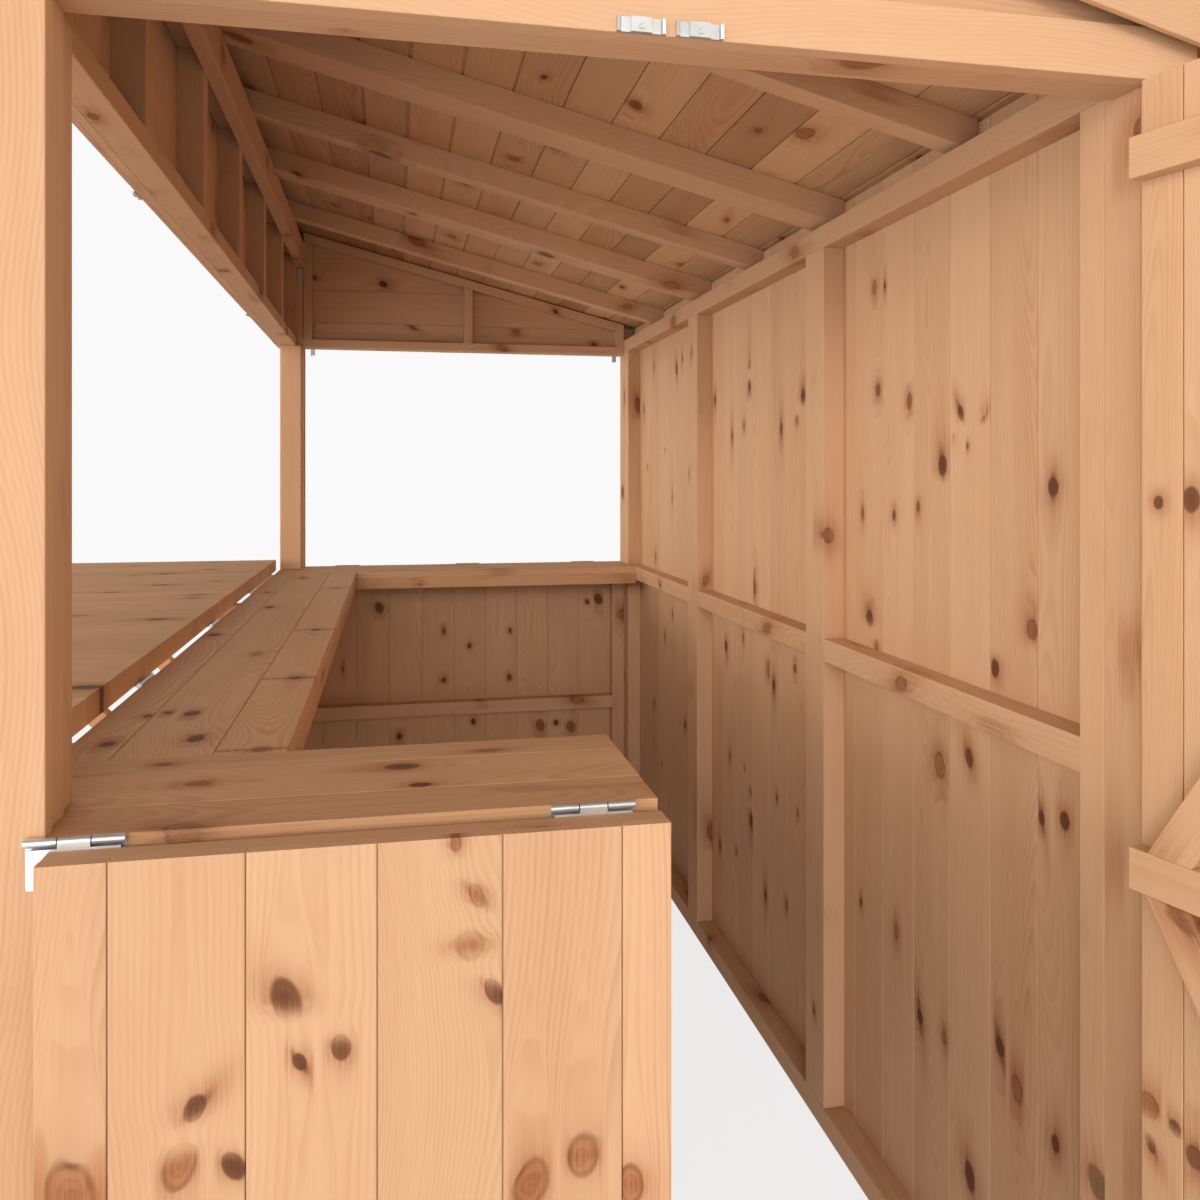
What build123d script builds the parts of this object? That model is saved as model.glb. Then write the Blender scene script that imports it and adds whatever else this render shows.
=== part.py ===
from build123d import *
from math import cos, radians, sin
import os

os.makedirs("parts", exist_ok=True)

# Garden bar: a timber hut with a pent roof, open hatches in the front and in
# both ends, worktops round three sides, and a door in the near end.
#
# Frame: +X along the building towards the end with the door, +Y towards the
# back wall, +Z up. The origin is on the ground under the middle of the back
# wall's bottom plate. All lengths are in millimetres.

# ------------------------------------------------------------ driving sizes
half_len = 1320.0        # centre to the outer face of an end frame
stud = 44.0              # section of a frame timber
board = 12.0             # thickness of a tongue-and-groove board
trim = 20.0              # thickness of a corner or header trim
back_y = 22.0            # back frame runs from -back_y to back_y
front_y = -1215.0        # outer face of the front wall
frame_y = -1203.0        # outer face of the front frame
post_y = -1145.0         # inner face of the tall front posts
post_h = 1981.0          # height of the tall front posts
wall_h = 938.0           # top of the lower walls
top_t = 20.0             # thickness of a worktop
top_z = wall_h + top_t   # worktop surface
head_z = 1712.0          # underside of the headers
plate_z = 1720.0         # underside of the back top plate
trim_h = 58.0            # height of a header trim
rail_d = 28.0            # depth of a gable rail or stud
roof_z0 = 1819.1         # underside of the roof boards at y = 0
roof_fall = 0.2527       # fall of the roof towards the back, per mm
roof_half = 1357.0       # half length of the roof boards
roof_front = -1291.0     # front eaves
roof_back = 84.0         # back eaves
roof_board = 12.4        # upright thickness of the roof boards
felt = 2.6               # upright thickness of the felt
rafter_h = 49.0          # upright depth of a rafter
door_z0 = 12.0           # bottom of the door
leaf_top = 1705.0        # top of the door, and of each flap when shut
flap_t = 36.0            # thickness of a flap
flap_h = 742.0           # depth of a flap from its hinge edge
knuckle_r = 4.0          # hinge barrel radius
hinge_l = 83.0           # length of a butt hinge
leaf_t = 1.6             # thickness of a hinge leaf
gap = 5.0                # clearance round the opening leaves
flap_axis_z = 956.0      # height of the flap hinges
end_axis_x = 1346.0      # hinge line of an end flap
front_axis_y = -1221.0   # hinge line of the front flap
door_axis = (1345.5, -29.0)   # hinge line of the door
door_open = 103.0        # angle of the door from shut


def roof_z(y):
    """Height of the underside of the roof boards at y."""
    return roof_z0 - roof_fall * y


# --------------------------------------------------------------- back wall
with BuildPart() as back_bottom_plate:
    with BuildSketch(Plane.XY):
        Rectangle(2 * half_len, 2 * back_y)
    extrude(amount=stud)
back_bottom_plate.part.label = "back_bottom_plate"

with BuildPart() as back_top_plate:
    with BuildSketch(Plane.XY.offset(plate_z)):
        Rectangle(2 * half_len, 2 * back_y)
    extrude(amount=stud)
back_top_plate.part.label = "back_top_plate"

# Two wide studs where the wall's panels meet, and a single one at each end.
with BuildPart() as back_studs:
    with BuildSketch(Plane.XY.offset(stud)):
        with Locations((423, 0), (-415, 0)):
            Rectangle(2 * stud, 2 * back_y)
        with Locations((1239, 0), (-1231, 0)):
            Rectangle(stud, 2 * back_y)
    extrude(amount=plate_z - stud)
back_studs.part.label = "back_studs"

with BuildPart() as back_corner_posts:
    with BuildSketch(Plane.XY.offset(stud)):
        with Locations((1290.5, 0)):
            Rectangle(59, 2 * back_y)
        with Locations((-1286.5, 0)):
            Rectangle(67, 2 * back_y)
    extrude(amount=plate_z - stud)
back_corner_posts.part.label = "back_corner_posts"

with BuildPart() as back_mid_rails:
    with BuildSketch(Plane.XY.offset(914)):
        for x0, x1 in ((-1209, -459), (-371, 379), (467, 1217)):
            with Locations(((x0 + x1) / 2, 0)):
                Rectangle(x1 - x0, 2 * back_y)
    extrude(amount=stud)
back_mid_rails.part.label = "back_mid_rails"

with BuildPart() as back_wall_boards:
    with BuildSketch(Plane.XY):
        with Locations((0, back_y + board / 2)):
            Rectangle(2 * half_len, board)
    extrude(amount=1808)
back_wall_boards.part.label = "back_wall_boards"

# ------------------------------------------- lower walls: front, near, far
# Rails of the three frames: bottom and top rails, and a middle rail in the
# far wall.
with BuildPart() as lower_rails:
    for z in (0.0, wall_h - stud):
        with BuildSketch(Plane.XY.offset(z)):
            with Locations((0, frame_y + stud / 2)):
                Rectangle(2 * (half_len - stud), stud)
            with Locations((half_len - stud / 2, (post_y - 584) / 2)):
                Rectangle(stud, -584 - post_y)
            with Locations((-half_len + stud / 2, (post_y - back_y) / 2)):
                Rectangle(stud, -back_y - post_y)
        extrude(amount=stud)
    with BuildSketch(Plane.XY.offset(434)):
        with Locations((-half_len + stud / 2, (post_y - 66) / 2)):
            Rectangle(stud, -66 - post_y)
    extrude(amount=stud)
lower_rails.part.label = "lower_rails"

with BuildPart() as lower_studs:
    with BuildSketch(Plane.XY.offset(stud)):
        with Locations(*[(x, frame_y + stud / 2) for x in (-1254, -418, 418, 1254)]):
            Rectangle(stud, stud)
        with Locations((half_len - stud / 2, -606), (half_len - stud / 2, -865),
                       (-half_len + stud / 2, -44)):
            Rectangle(stud, stud)
    extrude(amount=wall_h - 2 * stud)
lower_studs.part.label = "lower_studs"

with BuildPart() as lower_front_boards:
    with BuildSketch(Plane.XY):
        with Locations((0, front_y + board / 2)):
            Rectangle(2 * half_len, board)
    extrude(amount=wall_h)
lower_front_boards.part.label = "lower_front_boards"

with BuildPart() as lower_near_boards:
    with BuildSketch(Plane.XY):
        with Locations((half_len + board / 2, (-1141.5 - 584) / 2)):
            Rectangle(board, 1141.5 - 584)
    extrude(amount=wall_h)
lower_near_boards.part.label = "lower_near_boards"

with BuildPart() as lower_far_boards:
    with BuildSketch(Plane.XY):
        with Locations((-half_len - board / 2, (-1141.5 - back_y) / 2)):
            Rectangle(board, 1141.5 - back_y)
    extrude(amount=wall_h)
lower_far_boards.part.label = "lower_far_boards"

# ------------------------------------------------------ front posts, trims
with BuildPart() as front_corner_posts:
    with BuildSketch(Plane.XY):
        with Locations((half_len - stud / 2, (frame_y + post_y) / 2),
                       (-half_len + stud / 2, (frame_y + post_y) / 2)):
            Rectangle(stud, post_y - frame_y)
    extrude(amount=post_h)
front_corner_posts.part.label = "front_corner_posts"

# Posts beside the front hatch: each stands on the worktop and laps round the
# corner post with a strip as thick as the wall boards.
with BuildPart() as front_opening_posts:
    for s in (1, -1):
        with BuildSketch(Plane.XY.offset(top_z)):
            with BuildLine():
                Polyline((s * 1238, front_y), (s * half_len, front_y),
                         (s * half_len, frame_y), (s * 1276, frame_y),
                         (s * 1276, -1148.6), (s * 1238, -1148.6), close=True)
            make_face()
        extrude(amount=head_z - top_z)
front_opening_posts.part.label = "front_opening_posts"

with BuildPart() as corner_trims:
    with BuildSketch(Plane.XY):
        for s in (1, -1):
            with Locations((s * (half_len + trim / 2), (front_y - 1141.5) / 2)):
                Rectangle(trim, -1141.5 - front_y)
            with Locations((s * (half_len + trim / 2), 6)):
                Rectangle(trim, 56)
    extrude(amount=head_z)
corner_trims.part.label = "corner_trims"

# ---------------------------------------------------------------- worktops
with BuildPart() as front_counter:
    with BuildSketch(Plane.XY.offset(wall_h)):
        with Locations((0, (front_y - 962) / 2)):
            Rectangle(2180, -962 - front_y)
    extrude(amount=top_t)
front_counter.part.label = "front_counter"

# Each end worktop is notched round the tall post and runs out over the wall.
with BuildPart() as near_counter:
    with BuildSketch(Plane.XY.offset(wall_h)):
        with BuildLine():
            Polyline((1090, front_y), (1320, front_y), (1320, frame_y),
                     (1276, frame_y), (1276, post_y), (1320, post_y),
                     (1320, -1141.5), (1340, -1141.5), (1340, -585),
                     (1090, -585), close=True)
        make_face()
    extrude(amount=top_t)
near_counter.part.label = "near_counter"

with BuildPart() as far_counter:
    with BuildSketch(Plane.XY.offset(wall_h)):
        with BuildLine():
            Polyline((-1090, front_y), (-1320, front_y), (-1320, frame_y),
                     (-1276, frame_y), (-1276, post_y), (-1320, post_y),
                     (-1320, -1141.5), (-1340, -1141.5), (-1340, -back_y),
                     (-1090, -back_y), close=True)
        make_face()
    extrude(amount=top_t)
far_counter.part.label = "far_counter"

# Battens under the inner edges, which make those edges look thick.
with BuildPart() as counter_battens:
    with BuildSketch(Plane.XY.offset(902)):
        with Locations((0, -976)):
            Rectangle(2236, 28)
        with Locations((1104, (-961 - 585) / 2)):
            Rectangle(28, 961 - 585)
        with Locations((-1104, (-961 - back_y) / 2)):
            Rectangle(28, 961 - back_y)
    extrude(amount=wall_h - 902)
counter_battens.part.label = "counter_battens"

# ------------------------------------------------- headers, fascia, gables
with BuildPart() as fascia_rails:
    for z0, z1 in ((head_z, 1742), (2020, 2064)):
        with BuildSketch(Plane.XY.offset(z0)):
            with Locations((0, -1188)):
                Rectangle(2 * (half_len - stud), stud)
        extrude(amount=z1 - z0)
fascia_rails.part.label = "fascia_rails"

with BuildPart() as fascia_studs:
    with BuildSketch(Plane.XY.offset(1742)):
        with Locations(*[(x, -1188) for x in (-1254, -842, -421, 0, 420, 841, 1254)]):
            Rectangle(stud, stud)
    extrude(amount=2020 - 1742)
fascia_studs.part.label = "fascia_studs"

with BuildPart() as fascia_boards:
    with BuildSketch(Plane.XY.offset(head_z)):
        with Locations((0, -1216)):
            Rectangle(2 * half_len, board)
    extrude(amount=2122 - head_z)
fascia_boards.part.label = "fascia_boards"

with BuildPart() as front_beam:
    with BuildSketch(Plane.XY.offset(post_h)):
        with Locations((0, -1151.5)):
            Rectangle(2 * (half_len - stud), 29)
    extrude(amount=74)
front_beam.part.label = "front_beam"

# Flat steel plates at the ends of the beam, on the tall posts.
with BuildPart() as beam_plates:
    with BuildSketch(Plane.XY.offset(1933)):
        with Locations((1275, -1154), (-1275, -1154)):
            Rectangle(2, 18)
    extrude(amount=44)
beam_plates.part.label = "beam_plates"

with BuildPart() as front_header_trim:
    with BuildSketch(Plane.XY.offset(head_z)):
        with Locations((0, -1226.5)):
            Rectangle(2 * (half_len + trim), 9)
    extrude(amount=trim_h)
front_header_trim.part.label = "front_header_trim"

with BuildPart() as end_header_trims:
    with BuildSketch(Plane.XY.offset(head_z)):
        with Locations((half_len + trim / 2, -594), (-half_len - trim / 2, -594)):
            Rectangle(trim, 1256)
    extrude(amount=trim_h)
end_header_trims.part.label = "end_header_trims"

with BuildPart() as gable_rails:
    with BuildSketch(Plane.XY.offset(head_z)):
        with Locations((half_len - stud / 2, (post_y - back_y) / 2),
                       (-half_len + stud / 2, (post_y - back_y) / 2)):
            Rectangle(stud, -back_y - post_y)
    extrude(amount=rail_d)
gable_rails.part.label = "gable_rails"

# The front and middle studs stop under the sloping chord. The back one runs
# up past its end.
with BuildPart() as gable_studs:
    for x in (half_len - stud, -half_len):
        with BuildSketch(Plane.YZ.offset(x)):
            for y0, y1, drop in ((-1143, -1115, 34), (-597, -569, 34), (-50, -22, 4)):
                with BuildLine():
                    Polyline((y0, head_z + rail_d), (y1, head_z + rail_d),
                             (y1, roof_z(y1) - drop), (y0, roof_z(y0) - drop),
                             close=True)
                make_face()
        extrude(amount=stud)
gable_studs.part.label = "gable_studs"

with BuildPart() as gable_chords:
    for x in (half_len - stud, -half_len):
        with BuildSketch(Plane.YZ.offset(x)):
            with BuildLine():
                Polyline((-1143, roof_z(-1143) - 34), (-50, roof_z(-50) - 34),
                         (-50, roof_z(-50) - 4), (-1143, roof_z(-1143) - 4),
                         close=True)
            make_face()
        extrude(amount=stud)
gable_chords.part.label = "gable_chords"

with BuildPart() as gable_boards:
    for x in (half_len, -half_len - board):
        with BuildSketch(Plane.YZ.offset(x)):
            with BuildLine():
                Polyline((-1222, head_z + trim_h), (34, head_z + trim_h),
                         (34, roof_z(34) - 2), (-1222, roof_z(-1222) - 2),
                         close=True)
            make_face()
        extrude(amount=board)
gable_boards.part.label = "gable_boards"

# -------------------------------------------------------------------- roof
with BuildPart() as rafters:
    for x0, x1 in ((885, 929), (379, 467), (-22, 22), (-467, -379), (-929, -885)):
        with BuildSketch(Plane.YZ.offset(x0)):
            with BuildLine():
                Polyline((-1210, roof_z(-1210) - rafter_h), (22, roof_z(22) - rafter_h),
                         (22, roof_z(22)), (-1210, roof_z(-1210)), close=True)
            make_face()
        extrude(amount=x1 - x0)
rafters.part.label = "rafters"

with BuildPart() as roof_boards:
    with BuildSketch(Plane.YZ.offset(-roof_half)):
        with BuildLine():
            Polyline((roof_front, roof_z(roof_front)), (roof_back, roof_z(roof_back)),
                     (roof_back, roof_z(roof_back) + roof_board),
                     (roof_front, roof_z(roof_front) + roof_board), close=True)
        make_face()
    extrude(amount=2 * roof_half)
roof_boards.part.label = "roof_boards"

with BuildPart() as roof_felt:
    with BuildSketch(Plane.YZ.offset(-roof_half)):
        with BuildLine():
            Polyline((roof_front, roof_z(roof_front) + roof_board),
                     (roof_back, roof_z(roof_back) + roof_board),
                     (roof_back, roof_z(roof_back) + roof_board + felt),
                     (roof_front, roof_z(roof_front) + roof_board + felt), close=True)
        make_face()
    extrude(amount=2 * roof_half)
roof_felt.part.label = "roof_felt"

with BuildPart() as barge_boards:
    for x in (roof_half, -roof_half - 8):
        with BuildSketch(Plane.YZ.offset(x)):
            with BuildLine():
                Polyline((roof_front, roof_z(roof_front) - 70),
                         (roof_back, roof_z(roof_back) - 70),
                         (roof_back, roof_z(roof_back) + 18),
                         (roof_front, roof_z(roof_front) + 18), close=True)
            make_face()
        extrude(amount=8)
barge_boards.part.label = "barge_boards"

with BuildPart() as eaves_strips:
    for y, z0, z1 in ((roof_front - 4, 2100, 2161), (roof_back + 4, 1755, 1813)):
        with BuildSketch(Plane.XY.offset(z0)):
            with Locations((0, y)):
                Rectangle(2 * (roof_half + 8), 8)
        extrude(amount=z1 - z0)
eaves_strips.part.label = "eaves_strips"

# ------------------------------------------------------------- turn buttons
# Small steel buttons on the header trims, turned out of the way.
with BuildPart() as turn_buttons:
    with BuildSketch(Plane.YZ.offset(half_len + trim)):
        with Locations((-603, 1719), (-543, 1719), (-1099, 1719)):
            RectangleRounded(49, 15, 3)
    extrude(amount=8)
    with BuildSketch(Plane.XZ.offset(1231)):
        with Locations((622, 1719), (-590, 1719)):
            RectangleRounded(49, 15, 3)
    extrude(amount=8)
    with BuildSketch(Plane.YZ.offset(-half_len - trim - 8)):
        with Locations((-1117, 1716), (-45, 1716)):
            RectangleRounded(15, 49, 3)
    extrude(amount=8)
turn_buttons.part.label = "turn_buttons"

# --------------------------------------------------------------- near flap
flap_y0, flap_y1 = -1136.5, -584.0
flap_top, flap_bot = flap_axis_z - 7, flap_axis_z - 7 - flap_h
near_x0 = end_axis_x + knuckle_r          # inner face of the hanging flap
near_x1 = near_x0 + flap_t                # board face

with BuildPart() as near_flap_boards:
    with BuildSketch(Plane.XY.offset(flap_bot)):
        with Locations((near_x1 - board / 2, (flap_y0 + flap_y1) / 2)):
            Rectangle(board, flap_y1 - flap_y0)
    extrude(amount=flap_h)
near_flap_boards.part.label = "near_flap_boards"

# Three full-width ledges behind the boards.
ledge_w = flap_t - board
ledge_zs = (flap_top - 64, (flap_top + flap_bot) / 2 - 32, flap_bot)
with BuildPart() as near_flap_ledges:
    for z in ledge_zs:
        with BuildSketch(Plane.XY.offset(z)):
            with Locations((near_x0 + ledge_w / 2, (flap_y0 + flap_y1) / 2)):
                Rectangle(ledge_w, flap_y1 - flap_y0)
        extrude(amount=64)
near_flap_ledges.part.label = "near_flap_ledges"

near_hinges = (-1115.5, -651.5)
knuckle_l = (hinge_l - 2) / 3             # three knuckles, 1 mm apart

# Moving half of each near hinge: a leaf on the flap and the middle knuckle.
with BuildPart() as near_flap_hinge_leaves:
    for y in near_hinges:
        with BuildSketch(Plane.XZ.offset(-y - knuckle_l / 2)):
            with Locations((end_axis_x, flap_axis_z)):
                Circle(knuckle_r)
            with Locations((near_x0 - 1.5, flap_axis_z - 3)):
                Rectangle(3, 6)
        extrude(amount=knuckle_l)
        with BuildSketch(Plane.XY.offset(916)):
            with Locations((near_x0 - leaf_t / 2, y)):
                Rectangle(leaf_t, hinge_l - 6)
        extrude(amount=flap_axis_z - 5 - 916)
near_flap_hinge_leaves.part.label = "near_flap_hinge_leaves"

# ---------------------------------------------------------------- far flap
# The same flap on the far end, as wide as that opening, hanging down.
far_y0, far_y1 = -1136.5, -27.0
with BuildPart() as far_flap_boards:
    with BuildSketch(Plane.XY.offset(flap_bot)):
        with Locations((-near_x1 + board / 2, (far_y0 + far_y1) / 2)):
            Rectangle(board, far_y1 - far_y0)
    extrude(amount=flap_h)
far_flap_boards.part.label = "far_flap_boards"

with BuildPart() as far_flap_ledges:
    for z in ledge_zs:
        with BuildSketch(Plane.XY.offset(z)):
            with Locations((-near_x0 - ledge_w / 2, (far_y0 + far_y1) / 2)):
                Rectangle(ledge_w, far_y1 - far_y0)
        extrude(amount=64)
far_flap_ledges.part.label = "far_flap_ledges"

far_hinges = (-1000.0, -581.75, -163.5)
with BuildPart() as far_flap_hinges:
    for y in far_hinges:
        with BuildSketch(Plane.XZ.offset(-y - hinge_l / 2)):
            with Locations((-end_axis_x, flap_axis_z)):
                Circle(knuckle_r)
            with Locations((-near_x0 + leaf_t / 2, (916 + flap_axis_z) / 2)):
                Rectangle(leaf_t, flap_axis_z - 916)
            with Locations((-end_axis_x + knuckle_r + leaf_t / 2 + 0.4, (916 + flap_axis_z) / 2)):
                Rectangle(leaf_t, flap_axis_z - 916)
            with Locations((-end_axis_x + 3, flap_axis_z - 1.5)):
                Rectangle(6, 3)
        extrude(amount=hinge_l)
far_flap_hinges.part.label = "far_flap_hinges"

# -------------------------------------------------------------- front flap
# One wide flap, let down level with the worktop. Its two panels meet at a
# joint nearer the door end than the middle.
ff_y0 = front_axis_y - 7 - flap_h         # outer edge
ff_y1 = front_axis_y - 7                  # hinge edge
ff_z0 = flap_axis_z - 1                   # underside
ff_joint = 240.0
with BuildPart() as front_flap_panels:
    with BuildSketch(Plane.XY.offset(ff_z0)):
        for x0, x1 in ((-1233, ff_joint - 0.5), (ff_joint + 0.5, 1233)):
            with Locations(((x0 + x1) / 2, (ff_y0 + ff_y1) / 2)):
                Rectangle(x1 - x0, flap_h)
    extrude(amount=flap_t)
front_flap_panels.part.label = "front_flap_panels"

# Battens across the underside.
with BuildPart() as front_flap_battens:
    with BuildSketch(Plane.XY.offset(ff_z0 - 20)):
        with Locations((ff_joint, (ff_y0 + ff_y1) / 2 - 10), (744, (ff_y0 + ff_y1) / 2 - 10),
                       (-744, (ff_y0 + ff_y1) / 2 - 10)):
            Rectangle(88, flap_h - 80)
    extrude(amount=20)
front_flap_battens.part.label = "front_flap_battens"

front_hinges = (-618.0, 0.0, 618.0)
with BuildPart() as front_flap_hinge_leaves:
    for x in front_hinges:
        with BuildSketch(Plane.YZ.offset(x - knuckle_l / 2)):
            with Locations((front_axis_y, flap_axis_z)):
                Circle(knuckle_r)
            with Locations((front_axis_y - 4, ff_z0 - 1.5)):
                Rectangle(8, 3)
        extrude(amount=knuckle_l)
        with BuildSketch(Plane.XY.offset(ff_z0 - leaf_t)):
            with Locations((x, front_axis_y - 7 - 18)):
                Rectangle(hinge_l - 6, 38)
        extrude(amount=leaf_t)
front_flap_hinge_leaves.part.label = "front_flap_hinge_leaves"

# ---------------------------------------------- brackets of the front flap
# Three gallows brackets on the front wall: a level arm, an upright and a
# strut between them.
bracket_xs = (1007.0, -347.0, -1075.0)
with BuildPart() as bracket_arms:
    with BuildSketch(Plane.XY.offset(910)):
        with Locations(*[(x, (front_y - 1860) / 2) for x in bracket_xs]):
            Rectangle(stud, 1860 + front_y)
    extrude(amount=44)
bracket_arms.part.label = "bracket_arms"

with BuildPart() as bracket_uprights:
    with BuildSketch(Plane.XY.offset(330)):
        with Locations(*[(x, front_y - 22) for x in bracket_xs]):
            Rectangle(stud, stud)
    extrude(amount=910 - 330)
bracket_uprights.part.label = "bracket_uprights"

with BuildPart() as bracket_struts:
    for x in bracket_xs:
        with BuildSketch(Plane.YZ.offset(x - 22)):
            with BuildLine():
                Polyline((front_y - 44, 372), (front_y - 44, 434),
                         (-1735, 910), (-1797, 910), close=True)
            make_face()
        extrude(amount=stud)
bracket_struts.part.label = "bracket_struts"

# -------------------------------------------------------------------- door
# The door is drawn in its open position: a plane through its hinge line, with
# x along the leaf away from the hinges and the outward face towards +y.
a = radians(door_open - 90)
door_dir = (cos(a), sin(a), 0)
door_out = (-sin(a), cos(a), 0)
door_plane = Plane(origin=(door_axis[0], door_axis[1], 0), x_dir=door_dir, z_dir=(0, 0, 1))
door_t0, door_t1 = 1.0, 548.0             # hinge edge and free edge
door_n = -5.5                             # outer face
ledge_n = door_n - board                  # face between boards and ledges
ledge_d = 22.0
door_ledges_z = (120.0, 833.0, 1595.0)

with BuildPart() as door_boards:
    with BuildSketch(door_plane.offset(door_z0)):
        with Locations(((door_t0 + door_t1) / 2, door_n - board / 2)):
            Rectangle(door_t1 - door_t0, board)
    extrude(amount=leaf_top - door_z0)
door_boards.part.label = "door_boards"

with BuildPart() as door_ledges:
    for z in door_ledges_z:
        with BuildSketch(door_plane.offset(z)):
            with Locations(((door_t0 + door_t1) / 2, ledge_n - ledge_d / 2)):
                Rectangle(door_t1 - door_t0 - 2, ledge_d)
        extrude(amount=45)
door_ledges.part.label = "door_ledges"

# Two braces that spread from the hinge end of the middle ledge.
brace_plane = Plane(origin=(door_axis[0] + ledge_n * door_out[0],
                            door_axis[1] + ledge_n * door_out[1], 0),
                    x_dir=door_dir, z_dir=(-door_out[0], -door_out[1], 0))
with BuildPart() as door_braces:
    with BuildSketch(brace_plane):
        with BuildLine():
            Polyline((23.7, 878), (73.1, 878), (508, 1595), (458.6, 1595), close=True)
        make_face()
        with BuildLine():
            Polyline((22, 833), (73, 833), (471, 165), (420, 165), close=True)
        make_face()
    extrude(amount=ledge_d)
door_braces.part.label = "door_braces"

door_hinges = (142.0, 856.0, 1617.0)
with BuildPart() as door_hinge_leaves:
    for z in door_hinges:
        with BuildSketch(door_plane.offset(z - knuckle_l / 2)):
            Circle(knuckle_r)
            with Locations((3, -4)):
                Rectangle(6, 3)
        extrude(amount=knuckle_l)
        with BuildSketch(door_plane.offset(z - hinge_l / 2 + 3)):
            with Locations((20, door_n + leaf_t / 2)):
                Rectangle(32, leaf_t)
        extrude(amount=hinge_l - 6)
door_hinge_leaves.part.label = "door_hinge_leaves"

# ----------------------------------------------- fixed halves of the hinges
# A leaf on the wall and the two outer knuckles of each hinge: two for the
# near flap, three for the front flap and three for the door.
k0 = hinge_l / 2 - knuckle_l
with BuildPart() as fixed_hinge_leaves:
    for y in near_hinges:
        for y_end in (y - k0, y + hinge_l / 2):
            with BuildSketch(Plane.XZ.offset(-y_end)):
                with Locations((end_axis_x, flap_axis_z)):
                    Circle(knuckle_r)
                with Locations((end_axis_x - 3.5, flap_axis_z - 2)):
                    Rectangle(5, 4)
            extrude(amount=knuckle_l)
        with BuildSketch(Plane.XY.offset(916)):
            with Locations((half_len + trim + leaf_t / 2, y)):
                Rectangle(leaf_t, hinge_l)
        extrude(amount=flap_axis_z - 2 - 916)
    for x in front_hinges:
        for x_start in (x - hinge_l / 2, x + k0):
            with BuildSketch(Plane.YZ.offset(x_start)):
                with Locations((front_axis_y, flap_axis_z)):
                    Circle(knuckle_r)
                with Locations((front_axis_y + 3.5, flap_axis_z - 2)):
                    Rectangle(5, 4)
            extrude(amount=knuckle_l)
        with BuildSketch(Plane.XY.offset(916)):
            with Locations((x, front_y - leaf_t / 2)):
                Rectangle(hinge_l, leaf_t)
        extrude(amount=flap_axis_z - 2 - 916)
    for z in door_hinges:
        for z0 in (z - hinge_l / 2, z + k0):
            with BuildSketch(Plane.XY.offset(z0)):
                with Locations(door_axis):
                    Circle(knuckle_r)
                with Locations((half_len + trim + 2, -26)):
                    Rectangle(4, 6)
            extrude(amount=knuckle_l)
        with BuildSketch(Plane.XY.offset(z - hinge_l / 2)):
            with Locations((half_len + trim + leaf_t / 2, -8)):
                Rectangle(leaf_t, 32)
        extrude(amount=hinge_l)
fixed_hinge_leaves.part.label = "fixed_hinge_leaves"

# ------------------------------------------------------------------ export
for piece in (back_bottom_plate, back_top_plate, back_studs, back_corner_posts,
              back_mid_rails, back_wall_boards, lower_rails, lower_studs,
              lower_front_boards, lower_near_boards,
              lower_far_boards, front_corner_posts, front_opening_posts,
              corner_trims, front_counter, near_counter, far_counter,
              counter_battens, fascia_rails, fascia_studs, fascia_boards,
              front_beam, beam_plates, front_header_trim, end_header_trims,
              gable_rails, gable_studs, gable_chords, gable_boards, rafters,
              roof_boards, roof_felt, barge_boards, eaves_strips, turn_buttons,
              near_flap_boards, near_flap_ledges, near_flap_hinge_leaves,
              far_flap_boards, far_flap_ledges, far_flap_hinges,
              front_flap_panels, front_flap_battens, front_flap_hinge_leaves,
              bracket_arms, bracket_uprights, bracket_struts,
              door_boards, door_ledges, door_braces, door_hinge_leaves,
              fixed_hinge_leaves):
    export_step(piece.part, "parts/" + piece.part.label + ".step")
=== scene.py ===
import bpy
import bmesh
import math
import random
from mathutils import Matrix, Vector


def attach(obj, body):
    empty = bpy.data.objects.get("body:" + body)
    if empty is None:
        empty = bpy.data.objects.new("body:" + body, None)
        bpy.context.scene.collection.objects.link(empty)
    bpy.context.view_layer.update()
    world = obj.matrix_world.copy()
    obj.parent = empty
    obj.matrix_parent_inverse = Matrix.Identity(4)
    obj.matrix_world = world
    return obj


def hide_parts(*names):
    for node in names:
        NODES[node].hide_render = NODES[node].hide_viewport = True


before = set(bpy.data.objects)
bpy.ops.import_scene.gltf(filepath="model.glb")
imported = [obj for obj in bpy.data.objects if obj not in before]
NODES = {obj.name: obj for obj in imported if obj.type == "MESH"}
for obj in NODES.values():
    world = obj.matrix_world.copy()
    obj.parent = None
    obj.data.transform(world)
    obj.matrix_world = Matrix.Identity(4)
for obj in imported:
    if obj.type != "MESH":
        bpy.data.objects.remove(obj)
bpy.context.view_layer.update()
MM = 0.001


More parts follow.
